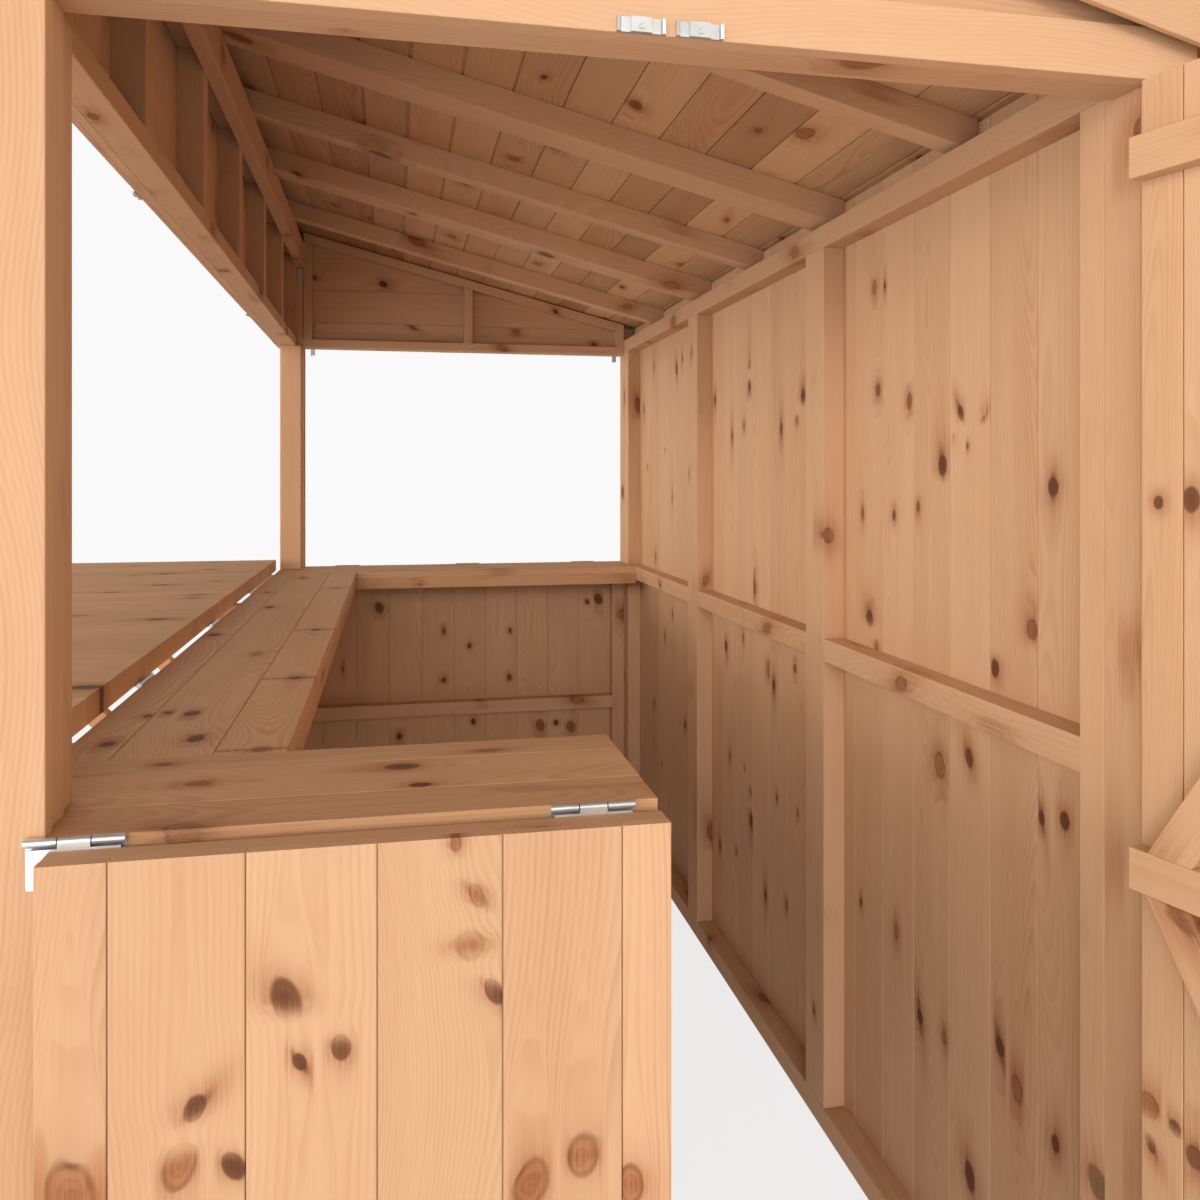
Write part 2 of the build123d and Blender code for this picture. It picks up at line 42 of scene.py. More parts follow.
# ============================================================ node helpers
class Tree:
    """Short calls for building a node tree."""

    def __init__(self, tree):
        self.t = tree

    def new(self, kind, **props):
        n = self.t.nodes.new(kind)
        for k, v in props.items():
            setattr(n, k, v)
        return n

    def put(self, socket, value):
        if value is None:
            return
        if hasattr(value, "is_output"):
            self.t.links.new(value, socket)
        else:
            socket.default_value = value

    def math(self, op, a, b=None, c=None, clamp=False):
        n = self.new("ShaderNodeMath", operation=op, use_clamp=clamp)
        for s, v in zip(n.inputs, (a, b, c)):
            self.put(s, v)
        return n.outputs[0]

    def vmath(self, op, a, b=None, scale=None):
        n = self.new("ShaderNodeVectorMath", operation=op)
        self.put(n.inputs[0], a)
        self.put(n.inputs[1], b)
        if scale is not None:
            self.put(n.inputs["Scale"], scale)
        return n.outputs["Value"] if op in ("LENGTH", "DISTANCE", "DOT_PRODUCT") else n.outputs[0]

    def add(self, a, b):
        return self.math("ADD", a, b)

    def sub(self, a, b):
        return self.math("SUBTRACT", a, b)

    def mul(self, a, b):
        return self.math("MULTIPLY", a, b)

    def xyz(self, v):
        n = self.new("ShaderNodeSeparateXYZ")
        self.put(n.inputs[0], v)
        return n.outputs

    def vec(self, x, y, z):
        n = self.new("ShaderNodeCombineXYZ")
        for s, v in zip(n.inputs, (x, y, z)):
            self.put(s, v)
        return n.outputs[0]

    def noise(self, vector, scale=1.0, detail=2.0, rough=0.5, dist=0.0, dims="3D", w=None):
        n = self.new("ShaderNodeTexNoise", noise_dimensions=dims)
        if vector is not None:
            self.put(n.inputs["Vector"], vector)
        if w is not None:
            self.put(n.inputs["W"], w)
        self.put(n.inputs["Scale"], scale)
        self.put(n.inputs["Detail"], detail)
        self.put(n.inputs["Roughness"], rough)
        self.put(n.inputs["Distortion"], dist)
        return n.outputs[0]

    def white(self, w):
        n = self.new("ShaderNodeTexWhiteNoise", noise_dimensions="1D")
        self.put(n.inputs["W"], w)
        s = self.new("ShaderNodeSeparateColor")
        self.put(s.inputs[0], n.outputs["Color"])
        return s.outputs

    def span(self, v, a, b, c=0.0, d=1.0, smooth=True):
        n = self.new("ShaderNodeMapRange", interpolation_type="SMOOTHSTEP" if smooth else "LINEAR")
        for s, x in zip(n.inputs, (v, a, b, c, d)):
            self.put(s, x)
        return n.outputs[0]

    def mix(self, fac, a, b, blend="MIX"):
        n = self.new("ShaderNodeMix", data_type="RGBA", blend_type=blend)
        self.put(n.inputs[0], fac)
        self.put(n.inputs[6], a)
        self.put(n.inputs[7], b)
        return n.outputs[2]

    def attr(self, name):
        return self.new("ShaderNodeAttribute", attribute_type="GEOMETRY", attribute_name=name).outputs

    def bump(self, height, strength, distance, normal=None):
        n = self.new("ShaderNodeBump")
        self.put(n.inputs["Height"], height)
        self.put(n.inputs["Strength"], strength)
        self.put(n.inputs["Distance"], distance)
        if normal is not None:
            self.put(n.inputs["Normal"], normal)
        return n.outputs[0]


def material(name):
    m = bpy.data.materials.new(name)
    m.use_nodes = True
    m.node_tree.nodes.clear()
    t = Tree(m.node_tree)
    out = t.new("ShaderNodeOutputMaterial")
    b = t.new("ShaderNodeBsdfPrincipled")
    m.node_tree.links.new(b.outputs[0], out.inputs[0])
    return m, t, b


# ================================================================== timber
def wood(name, cells, pale=(0.770, 0.480, 0.288), late=(0.565, 0.262, 0.116), ring=0.0042, ring_mix=0.30,
         knot_rate=0.62, knot_gap=0.42, knot_size=(0.006, 0.015), tone=0.055, width=0.1, streaks=0.0, across=False):
    """Planed, dip-stained softwood. Grain runs along x of the gpos attribute.
    cells: the knots come from attributes of the faces; otherwise from a pattern along the piece."""
    m, t, b = material(name)
    P = t.attr("gpos")["Vector"]
    seed = t.attr("gseed")["Fac"]
    px, py, pz = t.xyz(P)
    r1 = t.white(seed)
    r2 = t.white(t.add(seed, 31.7))
    r3 = t.white(t.add(seed, 77.1))
    off = t.vec(t.mul(r1[0], 40.0), t.mul(r1[1], 40.0), t.mul(r1[2], 40.0))
    Q = t.vmath("ADD", P, off)

    # ---- knots: dx along the grain, q across it, R the radius, kr a random number
    if cells:
        kx, ky, kR = t.xyz(t.attr("knot")["Vector"])
        xa, xb, kr = t.xyz(t.attr("cell")["Vector"])
        dx = t.sub(px, kx)
        q = t.sub(py, ky)
        fade = t.mul(t.span(t.sub(px, xa), 0.0, 0.03), t.span(t.sub(xb, px), 0.0, 0.03))
        R = kR
        tail_in, lean, dead = t.xyz(t.attr("ktail")["Vector"])
        reach = t.math("DIVIDE", t.math("ABSOLUTE", q), t.attr("kside")["Fac"])
        fade = t.mul(fade, t.sub(1.0, t.span(reach, 0.62, 1.0)))
    else:
        n = t.new("ShaderNodeTexVoronoi", voronoi_dimensions="1D", feature="F1")
        w = t.add(t.mul(px, 1.0 / knot_gap), t.mul(r2[0], 50.0))
        t.put(n.inputs["W"], w)
        t.put(n.inputs["Scale"], 1.0)
        t.put(n.inputs["Randomness"], 0.7)
        kw = n.outputs["W"]
        kc = t.new("ShaderNodeSeparateColor")
        t.put(kc.inputs[0], n.outputs["Color"])
        e = t.new("ShaderNodeTexVoronoi", voronoi_dimensions="1D", feature="DISTANCE_TO_EDGE")
        t.put(e.inputs["W"], w)
        t.put(e.inputs["Scale"], 1.0)
        t.put(e.inputs["Randomness"], 0.7)
        fade = t.span(e.outputs["Distance"], 0.0, 0.08)
        dx = t.mul(t.sub(w, kw), knot_gap)
        kh = t.white(t.mul(kw, 7.31))
        angle = t.mul(kh[0], 6.2832)
        ca, sa = t.math("COSINE", angle), t.math("SINE", angle)
        q = t.add(t.sub(t.mul(pz, ca), t.mul(py, sa)), t.mul(t.sub(kh[1], 0.5), width))
        side = t.span(t.add(t.mul(py, ca), t.mul(pz, sa)), -0.012, 0.0)
        R = t.mul(t.mul(t.span(kh[2], 0.0, 1.0, knot_size[0], knot_size[1], False),
                        t.math("LESS_THAN", kc.outputs[0], knot_rate)), side)
        kr = kc.outputs[1]
        kg = t.white(t.mul(kw, 11.7))
        tail_in = t.mul(R, t.span(kg[0], 0.0, 1.0, 0.7, 3.0, False))
        lean = t.mul(t.sub(kg[1], 0.5), 0.8)
        dead = kg[2]
    there = t.span(R, 0.0012, 0.0025)
    live = t.mul(there, fade)
    wob = t.noise(t.vmath("MULTIPLY", Q, (38.0, 60.0, 60.0)), 1.0, 1.0, 0.6)
    q2 = t.mul(q, q)
    dl = t.mul(dx, t.span(kr, 0.0, 1.0, 0.55, 0.86, False))
    ql = q if across else t.add(q, t.mul(dx, t.mul(lean, 0.32)))
    rr = t.math("SQRT", t.add(t.mul(dl, dl), t.mul(ql, ql)))
    rr = t.mul(rr, t.add(0.80, t.mul(wob, 0.62)))
    Rs = t.math("MAXIMUM", t.mul(R, 1.04), 0.001)
    rn = t.math("DIVIDE", rr, Rs)                       # 1 at the knot's rim

    # ---- growth rings: a cylinder about the pith, bent round the knot
    slow = t.noise(None, 1.3, 1.0, 0.5, dims="1D", w=t.add(px, t.mul(r2[1], 60.0)))
    grain_n = t.noise(t.vmath("MULTIPLY", Q, (2.2, 16.0, 16.0)), 1.0, 1.0, 0.55)
    en = t.math("DIVIDE", dx, t.add(t.mul(Rs, 4.2), 0.014))
    push = t.mul(t.mul(t.mul(Rs, Rs), 2.3), t.mul(t.math("EXPONENT", t.mul(t.mul(en, en), -1.0)), there))
    q0 = t.mul(t.math("SIGN", q), t.math("SQRT", t.math("MAXIMUM", t.sub(q2, push), 0.0)))
    ye = t.add(py, t.mul(t.sub(q0, q), fade))
    yc = t.add(t.mul(t.sub(r1[0], 0.5), 0.16), t.mul(t.sub(slow, 0.5), 0.11))
    zc = t.add(t.add(t.mul(r1[1], -0.055), -0.012), t.mul(t.sub(0.5, slow), 0.070))
    dy = t.sub(ye, yc)
    dz = t.sub(pz, zc)
    D = t.math("SQRT", t.add(t.mul(dy, dy), t.mul(dz, dz)))
    D = t.add(D, t.mul(t.sub(grain_n, 0.5), 0.0075 if cells else 0.0045))
    step = t.mul(t.span(r1[2], 0.0, 1.0, 0.7, 1.45, False), ring)
    turns = t.math("DIVIDE", D, step)
    ph = t.math("FRACT", turns)
    late_band = t.mul(t.span(ph, 0.22, 0.86), t.sub(1.0, t.span(ph, 0.88, 1.0)))
    rv = t.white(t.add(t.math("FLOOR", turns), t.mul(seed, 3.1)))[0]
    late_band = t.mul(late_band, t.add(0.45, t.mul(rv, 0.75)))

    # ---- fibre, patches
    fibre = t.noise(t.vmath("MULTIPLY", Q, (11.0, 480.0, 480.0)), 1.0, 1.0, 0.62)
    patch = grain_n

    halo = t.mul(t.math("EXPONENT", t.mul(t.mul(rn, rn), -0.20)), live)
    fac = t.mul(late_band, t.add(ring_mix, t.mul(halo, 0.42)))
    fac = t.add(fac, t.mul(t.add(fibre, -0.5), 0.30))
    fac = t.add(fac, t.mul(t.add(patch, -0.5), 0.55))
    fac = t.add(fac, t.mul(t.add(r3[0], -0.5), tone * 4.0))
    fac = t.math("MAXIMUM", t.add(fac, 0.10), 0.0)
    col = t.mix(t.math("MINIMUM", fac, 1.0), (*pale, 1.0), (*late, 1.0))

    # ---- the knot itself: halo and tails along the grain, soft rim, heart
    if across:
        cross = t.math("GREATER_THAN", lean, 4.0)
        straight = t.sub(1.0, cross)
        along = t.add(t.mul(dx, straight), t.mul(q, cross))
        over = t.add(t.mul(q, straight), t.mul(dx, cross))
        wide = t.mul(Rs, t.sub(0.78, t.mul(cross, 0.40)))
    else:
        along = dx
        over = t.add(q, t.mul(dx, lean))
        wide = t.mul(Rs, 0.78)
    ta = t.math("DIVIDE", along, t.math("MAXIMUM", tail_in, 0.002))
    to = t.math("DIVIDE", over, wide)
    far = t.add(t.mul(ta, ta), t.mul(to, to))
    tail = t.math("EXPONENT", t.mul(far, -1.0))
    soft = t.math("EXPONENT", t.mul(far, -0.17))
    streaky = t.span(fibre, 0.30, 0.66, 0.35, 1.0)
    warm = t.add(t.mul(halo, 0.26), t.mul(t.mul(t.mul(soft, streaky), live), 0.66))
    col = t.mix(warm, col, (0.42, 0.150, 0.052, 1.0))
    col = t.mix(t.mul(t.mul(t.span(tail, 0.12, 0.85), streaky), t.mul(live, t.add(0.46, t.mul(dead, 0.48)))), col, (0.17, 0.056, 0.022, 1.0))
    inside = t.mul(t.sub(1.0, t.span(rn, 0.84, 1.10)), live)
    kring = t.math("FRACT", t.mul(t.add(rn, t.mul(wob, 0.5)), 2.6))
    heart = t.mix(t.mul(t.span(kring, 0.1, 0.9), 0.75), (0.45, 0.175, 0.068, 1.0), (0.33, 0.115, 0.042, 1.0))
    heart = t.mix(t.mul(t.span(dead, 0.25, 0.8), 0.92), heart, (0.11, 0.037, 0.016, 1.0))
    col = t.mix(t.mul(inside, t.add(0.58, t.mul(dead, 0.34))), col, heart)
    rim = t.mul(t.mul(t.span(rn, 0.74, 0.95), t.sub(1.0, t.span(rn, 1.0, 1.20))), live)
    col = t.mix(t.mul(rim, t.span(wob, 0.35, 0.75, 0.25, 0.85)), col, (0.17, 0.055, 0.022, 1.0))

    if streaks:
        st = t.noise(t.vmath("MULTIPLY", Q, (4.0, 42.0, 42.0)), 1.0, 1.0, 0.6)
        col = t.mix(t.mul(t.span(st, 0.58, 0.74), streaks), col, (0.30, 0.100, 0.034, 1.0))

    # ---- per-piece brightness
    gain = t.span(r3[2], 0.0, 1.0, 1.0 - tone, 1.0 + tone * 0.55, False)
    col = t.vmath("SCALE", col, scale=gain)
    t.put(b.inputs["Base Color"], col)
    t.put(b.inputs["Roughness"], t.add(0.58, t.mul(fibre, 0.10)))
    b.inputs["IOR"].default_value = 1.45
    b.inputs["Specular IOR Level"].default_value = 0.28
    return m


M_BOARD = wood("board_stain", True)
M_BOARD_ROOF = wood("roof_board_stain", True, pale=(0.745, 0.435, 0.235), late=(0.475, 0.210, 0.092), tone=0.20, ring_mix=0.34)
M_TIMBER = wood("frame_stain", False, pale=(0.745, 0.452, 0.268), ring_mix=0.24, width=0.020, knot_rate=0.78, knot_gap=0.31, knot_size=(0.006, 0.017))
M_TOPB = wood("worktop_board_stain", True, across=True, pale=(0.755, 0.450, 0.252), late=(0.480, 0.218, 0.094), tone=0.07, ring_mix=0.34)
M_TOP = wood("worktop_stain", False, pale=(0.735, 0.430, 0.232), late=(0.50, 0.218, 0.092), width=0.07, knot_gap=0.36, knot_rate=0.66,
             knot_size=(0.006, 0.014), tone=0.09, ring_mix=0.34, streaks=0.35)
M_TRIM = wood("trim_stain", False, ring_mix=0.24, width=0.03, knot_gap=0.5, knot_rate=0.55, knot_size=(0.006, 0.016), tone=0.06)


# =================================================================== steel
def steel():
    m, t, b = material("bright_zinc")
    co = t.new("ShaderNodeTexCoord").outputs["Object"]
    n1 = t.noise(co, 260.0, 3.0, 0.6)
    n2 = t.noise(co, 34.0, 2.0, 0.5)
    v = t.new("ShaderNodeTexVoronoi", voronoi_dimensions="3D", feature="F1")
    t.put(v.inputs["Vector"], co)
    t.put(v.inputs["Scale"], 420.0)
    c = t.mix(t.span(n2, 0.35, 0.7), (0.78, 0.80, 0.83, 1.0), (0.66, 0.69, 0.73, 1.0))
    c = t.mix(t.mul(t.span(n1, 0.55, 0.8), 0.35), c, (0.50, 0.53, 0.57, 1.0))
    t.put(b.inputs["Base Color"], c)
    b.inputs["Metallic"].default_value = 0.85
    t.put(b.inputs["Roughness"], t.span(n1, 0.2, 0.8, 0.30, 0.46, False))
    t.put(b.inputs["Normal"], t.bump(t.add(n1, t.mul(v.outputs["Distance"], 0.4)), 0.12, 0.0003))
    return m


def felt():
    m, t, b = material("green_mineral_felt")
    co = t.new("ShaderNodeTexCoord").outputs["Object"]
    v = t.new("ShaderNodeTexVoronoi", voronoi_dimensions="3D", feature="F1")
    t.put(v.inputs["Vector"], co)
    t.put(v.inputs["Scale"], 620.0)
    s = t.new("ShaderNodeSeparateColor")
    t.put(s.inputs[0], v.outputs["Color"])
    n = t.noise(co, 6.0, 4.0, 0.6)
    c = t.mix(s.outputs[0], (0.060, 0.085, 0.062, 1.0), (0.155, 0.190, 0.145, 1.0))
    c = t.mix(t.math("GREATER_THAN", s.outputs[1], 0.90), c, (0.34, 0.37, 0.32, 1.0))
    c = t.mix(t.mul(t.span(n, 0.4, 0.75), 0.35), c, (0.085, 0.10, 0.085, 1.0))
    t.put(b.inputs["Base Color"], c)
    t.put(b.inputs["Roughness"], t.span(s.outputs[2], 0.0, 1.0, 0.82, 0.98, False))
    t.put(b.inputs["Normal"], t.bump(t.sub(1.0, v.outputs["Distance"]), 0.7, 0.0012))
    return m


M_STEEL = steel()
M_FELT = felt()


# ===================================================== plain CAD timbers
def clean_tree():
    """Drops the imported normals and joins the faces of each solid."""
    g = bpy.data.node_groups.new("join_faces", "GeometryNodeTree")
    g.interface.new_socket("Geometry", in_out="INPUT", socket_type="NodeSocketGeometry")
    g.interface.new_socket("Geometry", in_out="OUTPUT", socket_type="NodeSocketGeometry")
    a, z = g.nodes.new("NodeGroupInput"), g.nodes.new("NodeGroupOutput")
    r = g.nodes.new("GeometryNodeRemoveAttribute")
    r.inputs["Name"].default_value = "custom_normal"
    w = g.nodes.new("GeometryNodeMergeByDistance")
    w.inputs["Distance"].default_value = 0.00005
    s = g.nodes.new("GeometryNodeSetShadeSmooth")
    s.inputs["Shade Smooth"].default_value = False
    g.links.new(a.outputs[0], r.inputs["Geometry"])
    g.links.new(r.outputs["Geometry"], w.inputs["Geometry"])
    g.links.new(w.outputs["Geometry"], s.inputs["Geometry"])
    g.links.new(s.outputs["Geometry"], z.inputs[0])
    return g


def grain_tree():
    """Writes gpos, a place along, across and through each solid, and gseed, its random number."""
    g = bpy.data.node_groups.new("grain", "GeometryNodeTree")
    g.interface.new_socket("Geometry", in_out="INPUT", socket_type="NodeSocketGeometry")
    g.interface.new_socket("Turn", in_out="INPUT", socket_type="NodeSocketVector")
    g.interface.new_socket("Seed", in_out="INPUT", socket_type="NodeSocketInt")
    g.interface.new_socket("Geometry", in_out="OUTPUT", socket_type="NodeSocketGeometry")
    N, L = g.nodes, g.links
    a, z = N.new("NodeGroupInput"), N.new("NodeGroupOutput")

    def live(sockets, name):
        return [s for s in sockets if s.name == name and s.enabled][0]

    def total(src, kind):
        n = N.new("GeometryNodeAccumulateField")
        n.data_type = kind
        n.domain = "POINT"
        if src is None:
            live(n.inputs, "Value").default_value = 1.0
        else:
            L.new(src, live(n.inputs, "Value"))
        L.new(island.outputs["Island Index"], [s for s in n.inputs if s.name.startswith("Group") and s.enabled][0])
        return live(n.outputs, "Total")

    def vm(op, x, y=None):
        n = N.new("ShaderNodeVectorMath")
        n.operation = op
        L.new(x, n.inputs[0])
        if y is not None:
            L.new(y, n.inputs[1])
        return n.outputs[0]

    def cmp_ge(x, y):
        n = N.new("ShaderNodeMath")
        n.operation = "SUBTRACT"
        L.new(x, n.inputs[0])
        L.new(y, n.inputs[1])
        m2 = N.new("ShaderNodeMath")
        m2.operation = "GREATER_THAN"
        L.new(n.outputs[0], m2.inputs[0])
        m2.inputs[1].default_value = -0.0001
        return m2.outputs[0]

    island = N.new("GeometryNodeInputMeshIsland")
    pos = N.new("GeometryNodeInputPosition")
    rot = N.new("ShaderNodeVectorRotate")
    rot.rotation_type = "EULER_XYZ"
    rot.invert = True
    L.new(pos.outputs[0], rot.inputs["Vector"])
    L.new(a.outputs["Turn"], rot.inputs["Rotation"])
    p = rot.outputs[0]
    count = total(None, "FLOAT")
    cv = N.new("ShaderNodeCombineXYZ")
    for s in cv.inputs:
        L.new(count, s)
    centre = vm("DIVIDE", total(p, "FLOAT_VECTOR"), cv.outputs[0])
    d = vm("SUBTRACT", p, centre)
    half = vm("DIVIDE", total(vm("ABSOLUTE", d), "FLOAT_VECTOR"), cv.outputs[0])
    hs, ds = N.new("ShaderNodeSeparateXYZ"), N.new("ShaderNodeSeparateXYZ")
    L.new(half, hs.inputs[0])
    L.new(d, ds.inputs[0])
    x, y, zz = ds.outputs
    hx, hy, hz = hs.outputs

    def comb(i, j, k):
        n = N.new("ShaderNodeCombineXYZ")
        for s, v in zip(n.inputs, (i, j, k)):
            L.new(v, s)
        return n.outputs[0]

    def pick(c, if_no, if_yes):
        n = N.new("ShaderNodeMix")
        n.data_type = "VECTOR"
        n.clamp_factor = True
        live_in = [s for s in n.inputs if s.enabled]
        L.new(c, live_in[0])
        L.new(if_no, [s for s in live_in if s.name == "A"][0])
        L.new(if_yes, [s for s in live_in if s.name == "B"][0])
        return [s for s in n.outputs if s.enabled][0]

    yz = pick(cmp_ge(hy, hz), comb(zz, x, y), comb(y, x, zz))
    both = N.new("ShaderNodeMath")
    both.operation = "MULTIPLY"
    L.new(cmp_ge(hx, hy), both.inputs[0])
    L.new(cmp_ge(hx, hz), both.inputs[1])
    local = pick(both.outputs[0], yz, comb(x, y, zz))
    rnd = N.new("FunctionNodeRandomValue")
    rnd.data_type = "FLOAT"
    live(rnd.inputs, "Min").default_value = 0.0
    live(rnd.inputs, "Max").default_value = 500.0
    L.new(island.outputs["Island Index"], rnd.inputs["ID"])
    L.new(a.outputs["Seed"], rnd.inputs["Seed"])
    geo = a.outputs[0]
    for name, kind, value in (("gpos", "FLOAT_VECTOR", local), ("gseed", "FLOAT", live(rnd.outputs, "Value"))):
        st = N.new("GeometryNodeStoreNamedAttribute")
        st.data_type = kind
        st.domain = "POINT"
        st.inputs["Name"].default_value = name
        L.new(geo, st.inputs["Geometry"])
        L.new(value, live(st.inputs, "Value"))
        geo = st.outputs[0]
    L.new(geo, z.inputs[0])
    return g


CLEAN, GRAIN = clean_tree(), grain_tree()
TURN_KEY = [i.identifier for i in GRAIN.interface.items_tree if i.name == "Turn"][0]
SEED_KEY = [i.identifier for i in GRAIN.interface.items_tree if i.name == "Seed"][0]


def dress(node, mat, turn=(0.0, 0.0, 0.0), seed=0, edge=0.0013, smooth=False):
    """Keeps a CAD node, eases its edges and gives it its material."""
    o = NODES[node]
    m = o.modifiers.new("join", "NODES")
    m.node_group = CLEAN
    bv = o.modifiers.new("ease", "BEVEL")
    bv.width = edge
    bv.segments = 2
    bv.limit_method = "ANGLE"
    bv.angle_limit = math.radians(38)
    bv.harden_normals = False
    g = o.modifiers.new("grain", "NODES")
    g.node_group = GRAIN
    g[TURN_KEY] = turn
    g[SEED_KEY] = seed
    o.data.materials.clear()
    o.data.materials.append(mat)


# ================================================================== boards
def rnd(*key):
    r = random.Random("/".join(str(k) for k in key))
    return r


def board_mesh(name, rows, origin, U, V, W, thick, mat, body, knots=None, gap_mm=0.55, cham=0.9, deep=3.6,
               knot_rate=0.62, knot_gap=(230, 520)):
    """Tongue-and-groove boards: rows of (u0, u1, v0, v1), lengths in mm, v0 and v1 numbers or functions of u.
    U runs across the boards, V along them, W through them, from the inner face. Each board is its own solid.
    Along its length a board is cut into stretches, each with one knot, kept as face attributes."""
    verts, faces, gpos, gseed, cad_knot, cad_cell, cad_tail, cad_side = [], [], [], [], [], [], [], []
    spots = {}
    for k_ in knots or ():
        for i, row in enumerate(rows):
            if row[0] <= k_[0] < row[1]:
                spots.setdefault(i, []).append(k_)
    for i, (u0, u1, v0, v1, *more) in enumerate(rows):
        opt = more[0] if more else {}
        r = rnd(name, i)
        seed = opt.get("seed", r.uniform(0, 900))
        f0 = v0 if callable(v0) else (lambda u, c=v0: c)
        f1 = v1 if callable(v1) else (lambda u, c=v1: c)
        a0, a1 = f0, f1
        g0 = opt.get("g0", gap_mm)
        g1 = opt.get("g1", gap_mm)
        first, last = opt.get("first", False), opt.get("last", False)
        c, d, T = cham, deep, thick
        uc = (u0 + u1) / 2
        left = [(u0, T - d), (u0, d)] if first else [(u0 + g0, T - d), (u0, T - d), (u0, d), (u0 + g0, d)]
        right = [(u1, d), (u1, T - d)] if last else [(u1 - g1, d), (u1, d), (u1, T - d), (u1 - g1, T - d)]
        cc0 = 0.8 if first else c
        cc1 = 0.8 if last else c
        e0 = u0 if first else u0 + g0
        e1 = u1 if last else u1 - g1
        prof = [(e0 + cc0, 0), (None, 0), (e1 - cc1, 0), (e1, cc1 * 0.8)] + right + [(e1, T - cc1 * 0.8), (e1 - cc1, T), (None, T), (e0 + cc0, T), (e0, T - cc0 * 0.8)] + left + [(e0, cc0 * 0.8)]
        lo = max(a0(p[0]) for p in prof if p[0] is not None)
        hi = min(a1(p[0]) for p in prof if p[0] is not None)
        ks = []
        if knots is not None and i in spots:
            ks = [(v, u - uc, R, r.random(), tl_, ln_, dd_) for (u, v, R, tl_, ln_, dd_) in spots[i]]
        else:
            v = lo + r.uniform(40, knot_gap[1])
            while v < hi - 30:
                if r.random() < knot_rate:
                    ks.append((v, r.uniform(-0.42, 0.42) * (u1 - u0), r.choice((5, 6, 7, 8, 9, 11, 13, 15)) * r.uniform(0.8, 1.1), r.random(),
                               r.uniform(6, 32), r.choice((0, 0, 0.2, -0.2, 0.5)), r.random()))
                v += r.uniform(*knot_gap)
        ks.sort()
        groups = []
        for k in ks:
            if groups:
                was = groups[-1]
                near = k[0] - max(g[0] for g in was)
                need = 1.5 * (max(g[2] for g in was) + k[2]) + 12
                if near < need and len(was) == 1 and abs(k[1] - was[0][1]) > 1.15 * (k[2] + was[0][2]) + 4:
                    was.append(k)
                    continue
                if near < need:
                    if k[2] <= 6:
                        continue
                    k = (k[0] + need - near,) + k[1:]
            groups.append([k])
        if not groups:
            groups = [[(-9000.0, 0.0, 0.0, r.random(), 1.0, 0.0, 0.0)]]
        cuts = [(max(g[0] for g in groups[k]) + min(g[0] for g in groups[k + 1])) / 2 for k in range(len(groups) - 1)]
        cells = [(lo if k == 0 else cuts[k - 1], hi if k == len(groups) - 1 else cuts[k]) for k in range(len(groups))]
        split = []
        for g in groups:
            g.sort(key=lambda k: k[1])
            split.append(uc if len(g) == 1 else uc + (g[0][1] + g[0][2] + g[1][1] - g[1][2]) / 2)
        stations = [a0] + [(lambda u, c=c_: c) for (_, c_) in cells[:-1]] + [a1]
        mids = [split[0]]
        for k in range(len(groups) - 1):
            two = [split[q_] for q_ in (k, k + 1) if len(groups[q_]) == 2]
            mids.append(sum(two) / len(two) if two else uc)
        mids.append(split[-1])
        n = len(prof)
        base = len(verts)
        for st, mid in zip(stations, mids):
            for (u, w) in prof:
                u = mid if u is None else u
                v = st(u)
                p = Vector(origin) + Vector(U) * u + Vector(V) * v + Vector(W) * w
                verts.append(p * MM)
                gpos.append((v * MM, (u - uc) * MM, (w - T / 2) * MM))
                gseed.append(seed)
        back = [j for j in range(n) if prof[j][0] is None]
        for s_ in range(len(stations) - 1):
            xa, xb = cells[s_]
            if s_ == 0:
                xa -= 200
            if s_ == len(stations) - 2:
                xb += 200
            g = groups[s_]
            for j in range(n):
                k = (j + 1) % n
                faces.append((base + s_ * n + j, base + s_ * n + k, base + (s_ + 1) * n + k, base + (s_ + 1) * n + j))
                on_right = back[0] <= j < back[1]
                kv, ku, R, kind, tl_, ln_, dd_ = g[-1] if on_right else g[0]
                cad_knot.append((kv * MM, ku * MM, R * MM))
                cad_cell.append((xa * MM, xb * MM, kind))
                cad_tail.append((tl_ * MM, ln_, dd_))
                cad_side.append(9.0 if len(g) == 1 else abs(split[s_] - uc - ku) * MM)
        for s_, flip in ((0, False), (len(stations) - 1, True)):
            ring_ = [base + s_ * n + j for j in range(n)]
            faces.append(tuple(ring_ if flip else reversed(ring_)))
            kv, ku, R, kind, tl_, ln_, dd_ = groups[0 if s_ == 0 else -1][0]
            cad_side.append(9.0)
            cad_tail.append((tl_ * MM, ln_, dd_))
            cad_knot.append((kv * MM, ku * MM, R * MM))
            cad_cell.append((-9.0, 9.0, kind))
    me = bpy.data.meshes.new(name)
    me.from_pydata([tuple(v) for v in verts], [], faces)
    me.attributes.new("gpos", "FLOAT_VECTOR", "POINT").data.foreach_set("vector", [c for v in gpos for c in v])
    me.attributes.new("gseed", "FLOAT", "POINT").data.foreach_set("value", gseed)
    me.attributes.new("knot", "FLOAT_VECTOR", "FACE").data.foreach_set("vector", [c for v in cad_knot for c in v])
    me.attributes.new("ktail", "FLOAT_VECTOR", "FACE").data.foreach_set("vector", [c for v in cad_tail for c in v])
    me.attributes.new("cell", "FLOAT_VECTOR", "FACE").data.foreach_set("vector", [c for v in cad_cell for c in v])
    me.attributes.new("kside", "FLOAT", "FACE").data.foreach_set("value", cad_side)
    me.validate()
    # faces outward
    bm = bmesh.new()
    bm.from_mesh(me)
    bmesh.ops.recalc_face_normals(bm, faces=bm.faces)
    bm.to_mesh(me)
    bm.free()
    me.materials.append(mat)
    o = bpy.data.objects.new(name, me)
    bpy.context.scene.collection.objects.link(o)
    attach(o, body)
    return o


